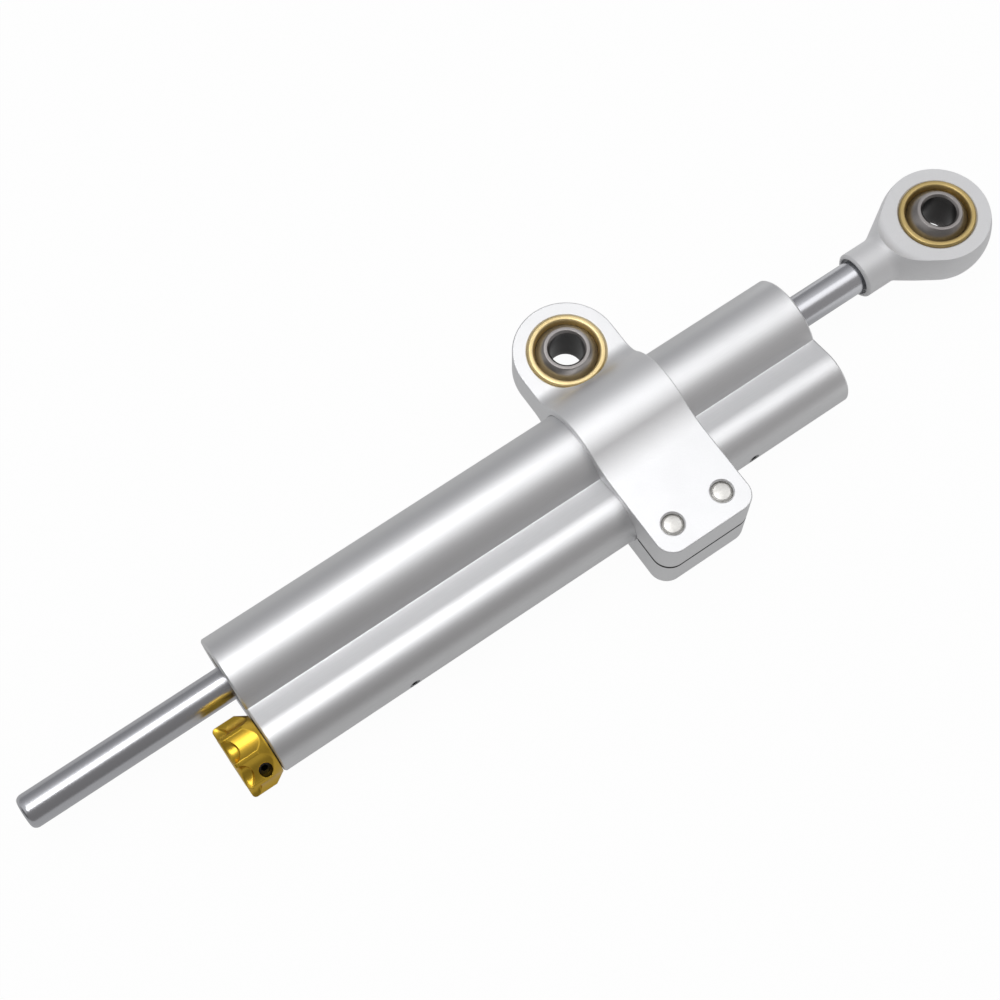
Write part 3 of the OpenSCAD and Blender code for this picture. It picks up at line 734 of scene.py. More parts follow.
class Slots:
    """Finishes of the record's material slots."""

    def __init__(self, datum: Datum) -> None:
        """Builds every finish once.

        Args:
            datum: Places of the frame.
        """
        main = (0.0, datum.main_y, 0.0)
        side = (0.0, datum.side_y, 0.0)
        finishes = [
            Finish("silver_anodised", (0.80, 0.803, 0.81), (0.70, 0.703, 0.71), 0.44, Grain.DRAWN,
                   grain_scale=5.0, grain_depth=0.0026, smudge=0.02),
            Finish("guide_alloy", (0.70, 0.66, 0.52), (0.55, 0.5, 0.4), 0.3, Grain.TURNED, main,
                   grain_scale=4.0),
            Finish("hard_chrome", (0.60, 0.605, 0.63), (0.54, 0.545, 0.575), 0.25, Grain.DRAWN,
                   grain_scale=2.5, grain_depth=0.0, grain_spread=0.004, smudge=0.004),
            Finish("race_brass", (0.88, 0.71, 0.38), (0.66, 0.5, 0.23), 0.34,
                   grain_scale=2.5, smudge=0.05),
            # bearing_steel paints shade in the ball's bore and in its other hollows
            Finish("bearing_steel", (0.37, 0.35, 0.34), (0.19, 0.175, 0.168), 0.32,
                   grain_scale=5.0, grain_spread=0.05, smudge=0.05, hollow_shade_reach=9.0),
            Finish("piston_bronze", (0.78, 0.58, 0.3), (0.6, 0.42, 0.2), 0.25, Grain.TURNED, main),
            Finish("gold_anodised", (0.70, 0.455, 0.055), (0.56, 0.34, 0.03), 0.31, Grain.TURNED,
                   side, grain_scale=5.0, grain_depth=0.0003, grain_spread=0.02, smudge=0.015,
                   edge=0.22),
            Finish("stainless", (0.74, 0.74, 0.73), (0.5, 0.5, 0.49), 0.26,
                   grain_scale=3.0, smudge=0.08),
            Finish("spring_steel", (0.32, 0.32, 0.33), (0.2, 0.2, 0.21), 0.3),
            Finish("black_steel", (0.05, 0.05, 0.052), (0.03, 0.03, 0.03), 0.4),
            Finish("plug_steel", (0.3, 0.3, 0.31), (0.2, 0.2, 0.2), 0.35),
            Rubber("nitrile", (0.02, 0.02, 0.02)),
            Rubber("seal_polyurethane", (0.05, 0.16, 0.26), 0.4),
            Rubber("band_ptfe", (0.2, 0.14, 0.08), 0.45),
        ]
        special = [
            # clamp_satin paints a dark line of shade along the slit
            Finish("clamp_satin", (0.86, 0.863, 0.87), (0.78, 0.783, 0.79), 0.5,
                   grain_scale=3.5, grain_depth=0.0032, grain_spread=0.03, smudge=0.015, edge=0.15,
                   slit_shade_band=(0.5, datum.side_y - datum.side_r)),
            Finish("eye_matte", (0.74, 0.742, 0.75), (0.67, 0.672, 0.68), 0.55,
                   grain_scale=3.5, grain_depth=0.0036, grain_spread=0.03, smudge=0.02, edge=0.15,
                   metallic=0.45),
            Finish("race_muted", (0.58, 0.44, 0.19), (0.44, 0.32, 0.12), 0.38,
                   grain_scale=2.5, smudge=0.05),
            Finish("bolt_tip", (0.80, 0.79, 0.76), (0.40, 0.39, 0.37), 0.4,
                   grain_scale=1.6, grain_depth=0.03, grain_spread=0.08, smudge=0.06, edge=0.12),
        ]
        self.made = {finish.name: finish.make() for finish in finishes + special}

    def dress(self, piece: bpy.types.Object, finish: str) -> None:
        """Gives a piece one finish.

        Args:
            piece: The piece.
            finish: Name of the finish.
        """
        material = self.made[finish]
        if not piece.data.materials:
            piece.data.materials.append(material)
        for i in range(len(piece.data.materials)):
            piece.data.materials[i] = material


@dataclass
class Assembly:
    """Sub-assembly that rides on one body of the frame."""

    datum: Datum
    slots: Slots
    body: str = ""

    def build(self) -> list[bpy.types.Object]:
        """Builds the pieces."""
        raise NotImplementedError

    def fit(
        self,
        piece: bpy.types.Object,
        node: str,
        slot: str,
        finish: Optional[str] = None,
        angle: float = 30.0,
        body: Optional[str] = None,
    ) -> bpy.types.Object:
        """Finishes a new piece that stands for a CAD node.

        Args:
            piece: The piece.
            node: The node that it replaces.
            slot: The record's material slot.
            finish: The finish, where it isn't the slot's own.
            angle: Edges sharper than this stay sharp, in degrees.
            body: The body of the frame, where it isn't the assembly's own.

        Returns:
            The piece.
        """
        Bench.smoothed(piece, angle)
        self.slots.dress(piece, finish or slot)
        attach(piece, body or self.body)
        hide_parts(node)
        return piece

    def keep(self, finishes: dict[str, str]) -> list[bpy.types.Object]:
        """Dresses CAD nodes that are shown as they are.

        Args:
            finishes: The finish of each node.

        Returns:
            The nodes' objects.
        """
        kept = []
        for node, finish in finishes.items():
            self.slots.dress(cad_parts[node], finish)
            kept.append(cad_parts[node])
        return kept


@dataclass
class Cylinder(Assembly):
    """Twin-barrel body with its guides, seals and plugs."""

    body: str = "cylinder"
    bevel: float = 0.4
    rim_round: float = 0.15
    rim_depth: float = 1.2
    rim_run: float = 2.5
    bore_r: float = 8.5
    seat_r: float = 9.0
    seat_left: float = 29.0
    seat_right: float = 22.0
    clip_inset: float = 1.7
    clip_width: float = 1.03
    clip_r: float = 9.6
    mouth: float = 0.25
    gland_r: float = 5.53
    gland_depth: float = 16.1
    relief_r: float = 4.0
    needle_start: float = 19.0
    needle_r: float = 2.5
    orifice_start: float = 40.0
    orifice_r: float = 1.2
    gallery_start: float = 43.0
    gallery_r: float = 1.5
    end_plug_r: float = 3.03
    end_plug_depth: float = 6.5
    plug_r: float = 1.28
    plug_depth: float = 3.5
    port_r: float = 0.95
    port_reach: float = 9.0
    port_stations: tuple[float, float] = (33.0, 124.3)

    def shell(self) -> bpy.types.Object:
        """Builds the body with its bores.

        Returns:
            The body.
        """
        end = self.datum.length
        corners = [(0, -self.rim_depth), (0, -self.bevel), (self.bevel, 0), (self.rim_run, 0)]
        rim = Bench.eased(corners, self.rim_round)
        stations = rim + [(end - x, grow) for x, grow in reversed(rim)]
        body = self.datum.section.loft("body_shell", stations, self.datum.cylinder)
        place = self.datum.cylinder
        side = place @ Matrix.Translation((0, (self.datum.side_y - self.datum.main_y) * MM, 0))
        Bench.cut(body, self.main_bore(place, end), self.side_bore(side, end))
        for station in self.port_stations:
            Bench.cut(body, self.port(side, station))
        return self.fit(body, "damper_body", "silver_anodised")

    def main_bore(self, place: Matrix, end: float) -> bpy.types.Object:
        """Builds the cutter of the main bore.

        Args:
            place: Move of the main axis.
            end: Length of the body.

        Returns:
            The cutter.
        """
        wide = self.seat_r + self.mouth
        clip = self.clip_inset + self.clip_width
        left = [
            (0, -CUT), (wide + CUT, -CUT), (self.seat_r, self.mouth),
            (self.seat_r, self.clip_inset), (self.clip_r, self.clip_inset),
            (self.clip_r, clip), (self.seat_r, clip),
        ]
        right = [(r, end - x) for r, x in reversed(left)]
        middle = [
            (self.seat_r, self.seat_left), (self.bore_r, self.seat_left),
            (self.bore_r, end - self.seat_right), (self.seat_r, end - self.seat_right),
        ]
        return Bench.turned("bore_cutter", left + middle + right, place)

    def side_bore(self, place: Matrix, end: float) -> bpy.types.Object:
        """Builds the cutter of the side barrel's bore.

        Args:
            place: Move of the side axis.
            end: Length of the body.

        Returns:
            The cutter.
        """
        plug = end - self.end_plug_depth
        profile = [
            (0, -CUT), (self.gland_r + self.mouth + CUT, -CUT), (self.gland_r, self.mouth),
            (self.gland_r, self.gland_depth), (self.relief_r, self.gland_depth),
            (self.relief_r, self.needle_start), (self.needle_r, self.needle_start),
            (self.needle_r, self.orifice_start), (self.orifice_r, self.orifice_start),
            (self.orifice_r, self.gallery_start), (self.gallery_r, self.gallery_start),
            (self.gallery_r, plug), (self.end_plug_r, plug), (self.end_plug_r, end - self.mouth),
            (self.end_plug_r + self.mouth + CUT, end + CUT), (0, end + CUT),
        ]
        return Bench.turned("side_cutter", profile, place, sides=96)

    def port(self, place: Matrix, station: float) -> bpy.types.Object:
        """Builds the cutter of a cross drilling.

        Args:
            place: Move of the side axis.
            station: Station of the drilling.

        Returns:
            The cutter.
        """
        face = -self.datum.side_r
        profile = [
            (0, face - CUT), (self.plug_r, face - CUT), (self.plug_r, face + self.plug_depth),
            (self.port_r, face + self.plug_depth), (self.port_r, self.port_reach),
            (0, self.port_reach),
        ]
        move = place @ Matrix.Translation((station * MM, 0, 0))
        return Bench.turned("port_cutter", profile, move, Axis.ACROSS, 64)

    def build(self) -> list[bpy.types.Object]:
        """Builds the pieces."""
        return [self.shell()] + self.keep(
            {
                "rod_guide_left": "guide_alloy",
                "rod_guide_right": "guide_alloy",
                "guide_o_rings": "nitrile",
                "rod_seals": "seal_polyurethane",
                "rod_wipers": "nitrile",
                "retaining_rings": "spring_steel",
                "side_plugs": "plug_steel",
                "gallery_end_plug": "plug_steel",
                "adjuster_gland": "guide_alloy",
                "gland_o_ring": "nitrile",
                "spindle_o_ring": "nitrile",
                "detent_ball": "stainless",
                "detent_spring": "spring_steel",
            }
        )


@dataclass
class Bearing(Assembly):
    """Spherical bearing: a race and a ball, drawn round their own centre."""

    ball_body: str = ""
    node: str = ""
    race_finish: str = "race_brass"
    race_place: Matrix = Matrix.Identity(4)
    ball_place: Matrix = Matrix.Identity(4)
    sides: int = 192
    race_round: float = 0.5
    rim_round: float = 0.1
    race_r: float = 8.95
    race_half: float = 5.1
    mouth_half: float = 3.45
    land: float = 1.3
    ball_r: float = 7.95
    play: float = 0.04
    ball_half: float = 6.0
    hole_r: float = 4.0
    chamfer: float = 0.5
    round_steps: int = 8
    seat_steps: int = 40
    ball_steps: int = 64

    def race(self) -> bpy.types.Object:
        """Builds the race.

        Returns:
            The race.
        """
        seat = self.ball_r + self.play
        mouth_angle = math.degrees(math.asin(self.mouth_half / seat))
        mouth_r = seat * math.cos(math.radians(mouth_angle))
        band = self.race_r - self.land
        upper = [(mouth_r, self.mouth_half), (band, self.race_half), (self.race_r, self.race_half)]
        corners = upper + [(r, -z) for r, z in reversed(upper)]
        profile = Bench.eased(corners, self.race_round, self.round_steps)
        profile += Bench.arc((0, 0), seat, -mouth_angle, mouth_angle, self.seat_steps)[1:-1]
        name = f"{self.node}_bearing_ring"
        piece = Bench.turned(name, profile, self.race_place, Axis.UP, self.sides, True)
        return self.fit(piece, f"{self.node}_race", "race_brass", self.race_finish)

    def ball(self) -> bpy.types.Object:
        """Builds the ball.

        Returns:
            The ball.
        """
        edge = math.degrees(math.asin(self.ball_half / self.ball_r))
        sphere = Bench.arc((0, 0), self.ball_r, -edge, edge, self.ball_steps)
        corners = [
            sphere[-2], sphere[-1], (self.hole_r + self.chamfer, self.ball_half),
            (self.hole_r, self.ball_half - self.chamfer), (self.hole_r, 0),
        ]
        top = Bench.eased(corners, self.rim_round)[1:-1]
        profile = sphere[1:-1] + top + [(r, -z) for r, z in reversed(top)]
        name = f"{self.node}_bearing_ball"
        piece = Bench.turned(name, profile, self.ball_place, Axis.UP, self.sides, True)
        return self.fit(piece, f"{self.node}_ball", "bearing_steel", body=self.ball_body)

    def build(self) -> list[bpy.types.Object]:
        """Builds the race and the ball."""
        return [self.race(), self.ball()]


@dataclass
class Eye(Assembly):
    """Sub-assembly with an eye for a spherical bearing."""

    eye_half: float = 4.5
    pocket_r: float = 8.98
    pocket_bevel: float = 0.35
    pocket_over: float = 4.0

    def pocket(self, place: Matrix) -> bpy.types.Object:
        """Builds the cutter of the race's pocket, which reaches past both faces of the eye.

        Args:
            place: Move of the bearing's axis.

        Returns:
            The cutter.
        """
        wide = self.pocket_r + self.pocket_bevel
        top = self.eye_half + self.pocket_over
        start = (self.pocket_r, self.eye_half - self.pocket_bevel)
        upper = [start, (wide, self.eye_half), (wide, top), (0, top)]
        lower = [(r, -z) for r, z in reversed(upper)]
        return Bench.turned("pocket_cutter", lower + upper, place, Axis.UP, 192)


@dataclass
class Clamp(Eye):
    """One-piece clamp with its bolts."""

    body: str = "clamp"
    wall: float = 2.1
    eye_steps: int = 96
    corner_steps: int = 24
    plate_half: float = 9.5
    plate_reach: float = 33.9
    corner_r: float = 4.3
    valley_r: float = 6.0
    shoulder_r: float = 20.0
    valley_steps: int = 32
    hump_steps: int = 72
    shoulder_steps: int = 36
    rim: float = 0.35
    rim_steps: int = 5
    play: float = 0.05
    slit: float = 0.5
    mouth: float = 0.2
    bolt_pitch: float = 13.25
    bolt_reach: float = 27.7
    bolt_r: float = 2.5
    bolt_len: float = 14.0
    bolt_seat: float = 4.9
    head_r: float = 4.25
    head_len: float = 5.0
    head_bevel: float = 0.4
    tip_bevel: float = 0.6
    tip_dome: float = 0.18
    bolt_round: float = 0.15
    bolt_steps: int = 3
    bolt_centre_r: float = 0.1
    dome_steps: int = 8
    socket_r: float = 2.31
    socket_len: float = 2.6
    hole_play: float = 0.25
    thread_play: float = 0.05
    hole_bevel: float = 0.3

    @property
    def place(self) -> Matrix:
        """Move from the clamp's own middle, on the main axis, to the shared frame."""
        return Matrix.Translation(Vector((self.datum.clamp_x, self.datum.main_y, 0.0)) * MM)

    @property
    def eye_y(self) -> float:
        """Distance from the main axis to the middle of the eye."""
        return self.datum.eye.y - self.datum.main_y

    def heights(self) -> list[Pair]:
        """Lists the rows of the upper face from the eye to the plate.

        Returns:
            Pairs of y and half thickness.
        """
        bulge = self.datum.barrel_r + self.wall
        valley_z = self.eye_half + self.valley_r
        valley_y = math.sqrt((bulge + self.valley_r) ** 2 - valley_z**2)
        shoulder_z = self.plate_half + self.shoulder_r
        shoulder_y = -math.sqrt((bulge + self.shoulder_r) ** 2 - shoulder_z**2)
        valley_turn = math.degrees(math.atan2(valley_z, valley_y))
        shoulder_turn = math.degrees(math.atan2(shoulder_z, shoulder_y))
        foot = (valley_y, valley_z)
        valley = Bench.arc(foot, self.valley_r, -90, valley_turn - 180, self.valley_steps)
        hump = Bench.arc((0, 0), bulge, valley_turn, shoulder_turn, self.hump_steps)
        brow = (shoulder_y, shoulder_z)
        start = shoulder_turn - 180
        shoulder = Bench.arc(brow, self.shoulder_r, start, -90, self.shoulder_steps)
        rows = [(self.eye_y, self.eye_half)] + valley + hump[1:-1] + shoulder
        return rows + [(self.corner_r - self.plate_reach, self.plate_half)]

    def outline(self, inset: float, drop: float, side: int) -> list[Spot]:
        """Draws one ring of the clamp.

        Args:
            inset: Distance inward from the plan's outline.
            drop: Distance below the upper face.
            side: 1 above, -1 below.

        Returns:
            The closed ring, from the eye's right end round the eye first.
        """
        half = self.datum.clamp_half
        rows = self.heights()
        eye_z = self.eye_half - drop
        plate_z = self.plate_half - drop
        ring = [
            (x, y, eye_z)
            for x, y in Bench.arc((0, self.eye_y), half - inset, 0, 180, self.eye_steps)
        ]
        ring += [(inset - half, y, h - drop) for y, h in rows[1:]]
        inner = half - self.corner_r
        level = self.corner_r - self.plate_reach
        left, right = (
            Bench.arc((x, level), self.corner_r - inset, start, start + 90, self.corner_steps)
            for x, start in ((-inner, 180), (inner, 270))
        )
        ring += [(x, y, plate_z) for x, y in left[1:] + right]
        ring += [(half - inset, y, h - drop) for y, h in reversed(rows[1:-1])]
        return [(x, y, side * z) for x, y, z in ring]

    def blank(self) -> bpy.types.Object:
        """Builds the clamp before its holes are cut.

        Returns:
            The blank.
        """
        round_off = Bench.arc((0, 0), self.rim, 180, 270, self.rim_steps)
        rim = [(x + self.rim, y + self.rim) for x, y in round_off]
        rings = [self.outline(inset, drop, 1) for inset, drop in reversed(rim)]
        rings += [self.outline(inset, drop, -1) for inset, drop in rim]
        count = len(rings[0])
        points = [p for ring in rings for p in ring]
        faces = Bench.skin(len(rings), count)
        rows = len(self.heights())
        eye = self.eye_steps + 1
        left = list(range(eye - 1, eye + rows - 1))
        right = [0] + list(range(count - 1, count - rows, -1))
        for base in (0, (len(rings) - 1) * count):
            faces.append([base + k for k in range(eye)])
            for a, b, c, d in zip(left, left[1:], right[1:], right):
                faces.append([base + a, base + b, base + c, base + d])
            front = 2 * self.corner_steps + 2
            faces.append([base + k for k in range(left[-1], left[-1] + front)])
        return Bench.solid("clamp_block", points, faces, self.place)

    def casting(self) -> bpy.types.Object:
        """Builds the clamp with its passage, slit, pocket and bolt holes.

        Returns:
            The clamp.
        """
        piece = self.blank()
        half = self.datum.clamp_half
        wide = self.play + self.mouth + CUT
        passage = self.datum.section.loft(
            "passage_cutter",
            [(-half - CUT, wide), (self.mouth - half, self.play),
             (half - self.mouth, self.play), (half + CUT, wide)],
            self.place,
        )
        middle = self.place @ Matrix.Translation((0, self.eye_y * MM, 0))
        pocket = self.pocket(middle)
        Bench.cut(piece, passage, self.slit_cutter(half), pocket)
        for side in (-1, 1):
            Bench.cut(piece, self.bolt_hole(side))
        return self.fit(piece, "clamp", "silver_anodised", "clamp_satin")

    def slit_cutter(self, half: float) -> bpy.types.Object:
        """Builds the cutter of the slit.

        Args:
            half: Half width of the clamp.

        Returns:
            The cutter.
        """
        near = self.datum.side_y - self.datum.main_y
        far = -self.plate_reach - CUT
        z = self.slit / 2
        rings = [
            [(x, near, -z), (x, near, z), (x, far, z), (x, far, -z)]
            for x in (-half - CUT, half + CUT)
        ]
        return Bench.lofted("slit_cutter", rings, self.place)

    def bolt_hole(self, side: int) -> bpy.types.Object:
        """Builds the cutter of a bolt's hole.

        Args:
            side: 1 or -1, for the hole at +X or -X.

        Returns:
            The cutter.
        """
        tight = self.bolt_r + self.thread_play
        loose = self.bolt_r + self.hole_play
        head = self.head_r + self.hole_play
        seat = self.bolt_seat - self.plate_half
        bevel = self.hole_bevel
        top = self.plate_half + CUT
        profile = [
            (0, -top), (head + bevel + CUT, -top), (head, bevel - self.plate_half), (head, seat),
            (loose, seat), (loose, 0), (tight, 0), (tight, self.plate_half - bevel),
            (tight + bevel + CUT, top), (0, top),
        ]
        return Bench.turned("hole_cutter", profile, self.bolt_place(side), Axis.UP, 96)

    def bolt_place(self, side: int) -> Matrix:
        """Returns the move to a bolt's axis."""
        return self.place @ Matrix.Translation(
            (side * self.bolt_pitch / 2 * MM, -self.bolt_reach * MM, 0)
        )

    def bolt(self, side: int) -> bpy.types.Object:
        """Builds a socket head bolt.

        Args:
            side: 1 or -1, for the bolt at +X or -X.

        Returns:
            The bolt.
        """
        seat = self.bolt_seat - self.plate_half
        tip = seat + self.bolt_len
        edge = tip - self.tip_dome
        low = seat - self.head_len
        end_r = self.bolt_r - self.tip_bevel
        corners = [
            (self.bolt_centre_r, low), (self.head_r - self.head_bevel, low),
            (self.head_r, low + self.head_bevel), (self.head_r, seat), (self.bolt_r, seat),
            (self.bolt_r, edge - self.tip_bevel), (end_r, edge),
        ]
        shares = [1 - k / self.dome_steps for k in range(1, self.dome_steps)]
        crown = [(end_r * share, edge + self.tip_dome * (1 - share**2)) for share in shares]
        side_line = Bench.eased(corners, self.bolt_round, self.bolt_steps)
        profile = [(0, low)] + side_line + crown + [(0, tip)]
        piece = Bench.turned("clamp_bolt", profile, self.bolt_place(side), Axis.UP, 96)
        hexagon = Bench.arc((0, 0), self.socket_r, 0, 300, 5)
        rings = [[(x, y, z) for x, y in hexagon] for z in (low - CUT, low + self.socket_len)]
        Bench.cut(piece, Bench.lofted("socket_cutter", rings, self.bolt_place(side)))
        return piece

    def bolts(self) -> list[bpy.types.Object]:
        """Builds both bolts.

        Returns:
            The bolts.
        """
        made = []
        for side, name in ((-1, "clamp_bolt_left"), (1, "clamp_bolt_right")):
            piece = self.bolt(side)
            piece.name = name
            made.append(self.fit(piece, "clamp_bolts", "stainless", "bolt_tip"))
        return made

    def build(self) -> list[bpy.types.Object]:
        """Builds the pieces."""
        centre = Matrix.Translation(self.datum.eye * MM)
        bearing = Bearing(
            self.datum, self.slots, "clamp", "mounting_ball", "clamp",
            race_place=centre, ball_place=centre,
        )
        return [self.casting(), *self.bolts(), *bearing.build()]


@dataclass
class Rod(Assembly):
    """Through rod with the piston group."""

    body: str = "rod"
    radius: float = 4.0
    out: float = 49.8
    nose_r: float = 1.2
    nose_len: float = 1.5
    piston_station: float = 60.0
    piston_half: float = 6.0
    groove_r: float = 3.5
    groove_len: float = 1.0
    play: float = 0.03
    nose_steps: int = 12
    land_gap: float = 19.2
    land_r: float = 3.85
    land_len: float = 13.6
    land_bevel: float = 0.8

    def bar(self) -> bpy.types.Object:
        """Builds the rod.

        Returns:
            The rod.
        """
        left = self.piston_station - self.piston_half - self.groove_len - self.play
        right = self.piston_station + self.piston_half + self.play
        land = self.datum.length + self.land_gap
        tail = land + self.land_len
        profile = [(0, -self.out)]
        for x, y in Bench.arc((0, 0), 1, 0, 90, self.nose_steps):
            nose = (self.radius - self.nose_r * (1 - y), self.nose_len * (1 - x) - self.out)
            profile.append(nose)
        for start in (left, right):
            profile += [
                (self.radius, start), (self.groove_r, start),
                (self.groove_r, start + self.groove_len), (self.radius, start + self.groove_len),
            ]
        profile += [
            (self.radius, land), (self.land_r, land), (self.land_r, tail - self.land_bevel),
            (self.land_r - self.land_bevel, tail), (0, tail),
        ]
        piece = Bench.turned("rod_bar", profile, self.datum.cylinder, sides=192)
        return self.fit(piece, "piston_rod", "hard_chrome")

    def build(self) -> list[bpy.types.Object]:
        """Builds the pieces."""
        return [self.bar()] + self.keep(
            {
                "piston_snap_rings": "spring_steel",
                "piston": "piston_bronze",
                "piston_ring": "band_ptfe",
                "piston_o_ring": "nitrile",
            }
        )


@dataclass
class RodEye(Eye):
    """Turned rod eye with its bearing."""

    body: str = "rod"
    roll: float = -3.0
    lean: float = 1.3
    tip: float = 2.9
    eye_r: float = 12.4
    neck_to_eye: float = 24.2
    neck_r: float = 5.6
    flare: float = 31.0
    root_r: float = 3.5
    scoop_r: float = 4.0
    socket_len: float = 13.4
    socket_r: float = 4.05
    mouth_len: float = 1.2
    mouth_play: float = 0.55
    lip: float = 0.5
    lip_round: float = 0.25
    face_play: float = 0.15
    root_steps: int = 10
    ball_steps: int = 90
    scoop_steps: int = 24
    pocket_over: float = 9.0
    sharp_angle: float = 24

    @property
    def place(self) -> Matrix:
        """Move from the eye's own middle to the shared frame."""
        return Matrix.Translation(self.datum.rod_eye * MM) @ Matrix.Rotation(
            math.radians(self.roll), 4, "X"
        )

    def forging(self) -> bpy.types.Object:
        """Builds the eye with its neck.

        Returns:
            The eye.
        """
        head = math.hypot(self.eye_r, self.eye_half)
        start = -self.neck_to_eye
        turn = math.radians(self.flare)
        end = (head * math.cos(turn), -head * math.sin(turn))
        corner = (self.neck_r, end[1] - (end[0] - self.neck_r) / math.tan(turn))
        mouth = (self.socket_r + self.mouth_play, start + self.mouth_len)
        root = (self.neck_r, corner[1] - self.root_r)
        inner = [
            (0, start + self.socket_len), (self.socket_r, start + self.socket_len),
            (self.socket_r, mouth[1]),
        ]
        corners = [
            mouth, (mouth[0], start), (self.neck_r - self.lip, start),
            (self.neck_r, start + self.lip), root,
        ]
        lip = Bench.eased(corners, self.lip_round)
        cone = Bench.eased([root, corner, end], self.root_r, self.root_steps)[1:-1]
        ball = Bench.arc((0, 0), head, -self.flare, 90, self.ball_steps)[:-1]
        profile = inner + lip + cone + ball + [(0, head)]
        piece = Bench.turned("rod_eye_forging", profile, self.place, sides=256)
        for side in (1, -1):
            Bench.cut(piece, self.spot_face(side))
        Bench.cut(piece, self.pocket(self.place))
        return self.fit(piece, "rod_eye", "silver_anodised", "eye_matte", self.sharp_angle)

    def spot_face(self, side: int) -> bpy.types.Object:
        """Builds the cutter that levels one side of the eye.

        Args:
            side: 1 above, -1 below.

        Returns:
            The cutter.
        """
        flat = self.eye_r + self.face_play
        top = self.eye_half + 3 * self.scoop_r
        profile = [(0, self.eye_half)]
        corner = (flat, self.eye_half + self.scoop_r)
        profile += Bench.arc(corner, self.scoop_r, -90, 0, self.scoop_steps)
        profile += [(flat + self.scoop_r, top), (0, top)]
        return Bench.turned(
            "face_cutter", [(r, side * z) for r, z in profile], self.place, Axis.UP, 256
        )

    def build(self) -> list[bpy.types.Object]:
        """Builds the pieces."""
        ball_place = (
            self.place
            @ Matrix.Rotation(math.radians(self.lean), 4, "X")
            @ Matrix.Rotation(math.radians(self.tip), 4, "Y")
        )
        bearing = Bearing(
            self.datum, self.slots, "rod", "rod_eye_ball", "rod_eye", "race_muted",
            race_place=self.place, ball_place=ball_place,
        )
        return [self.forging(), *bearing.build()]


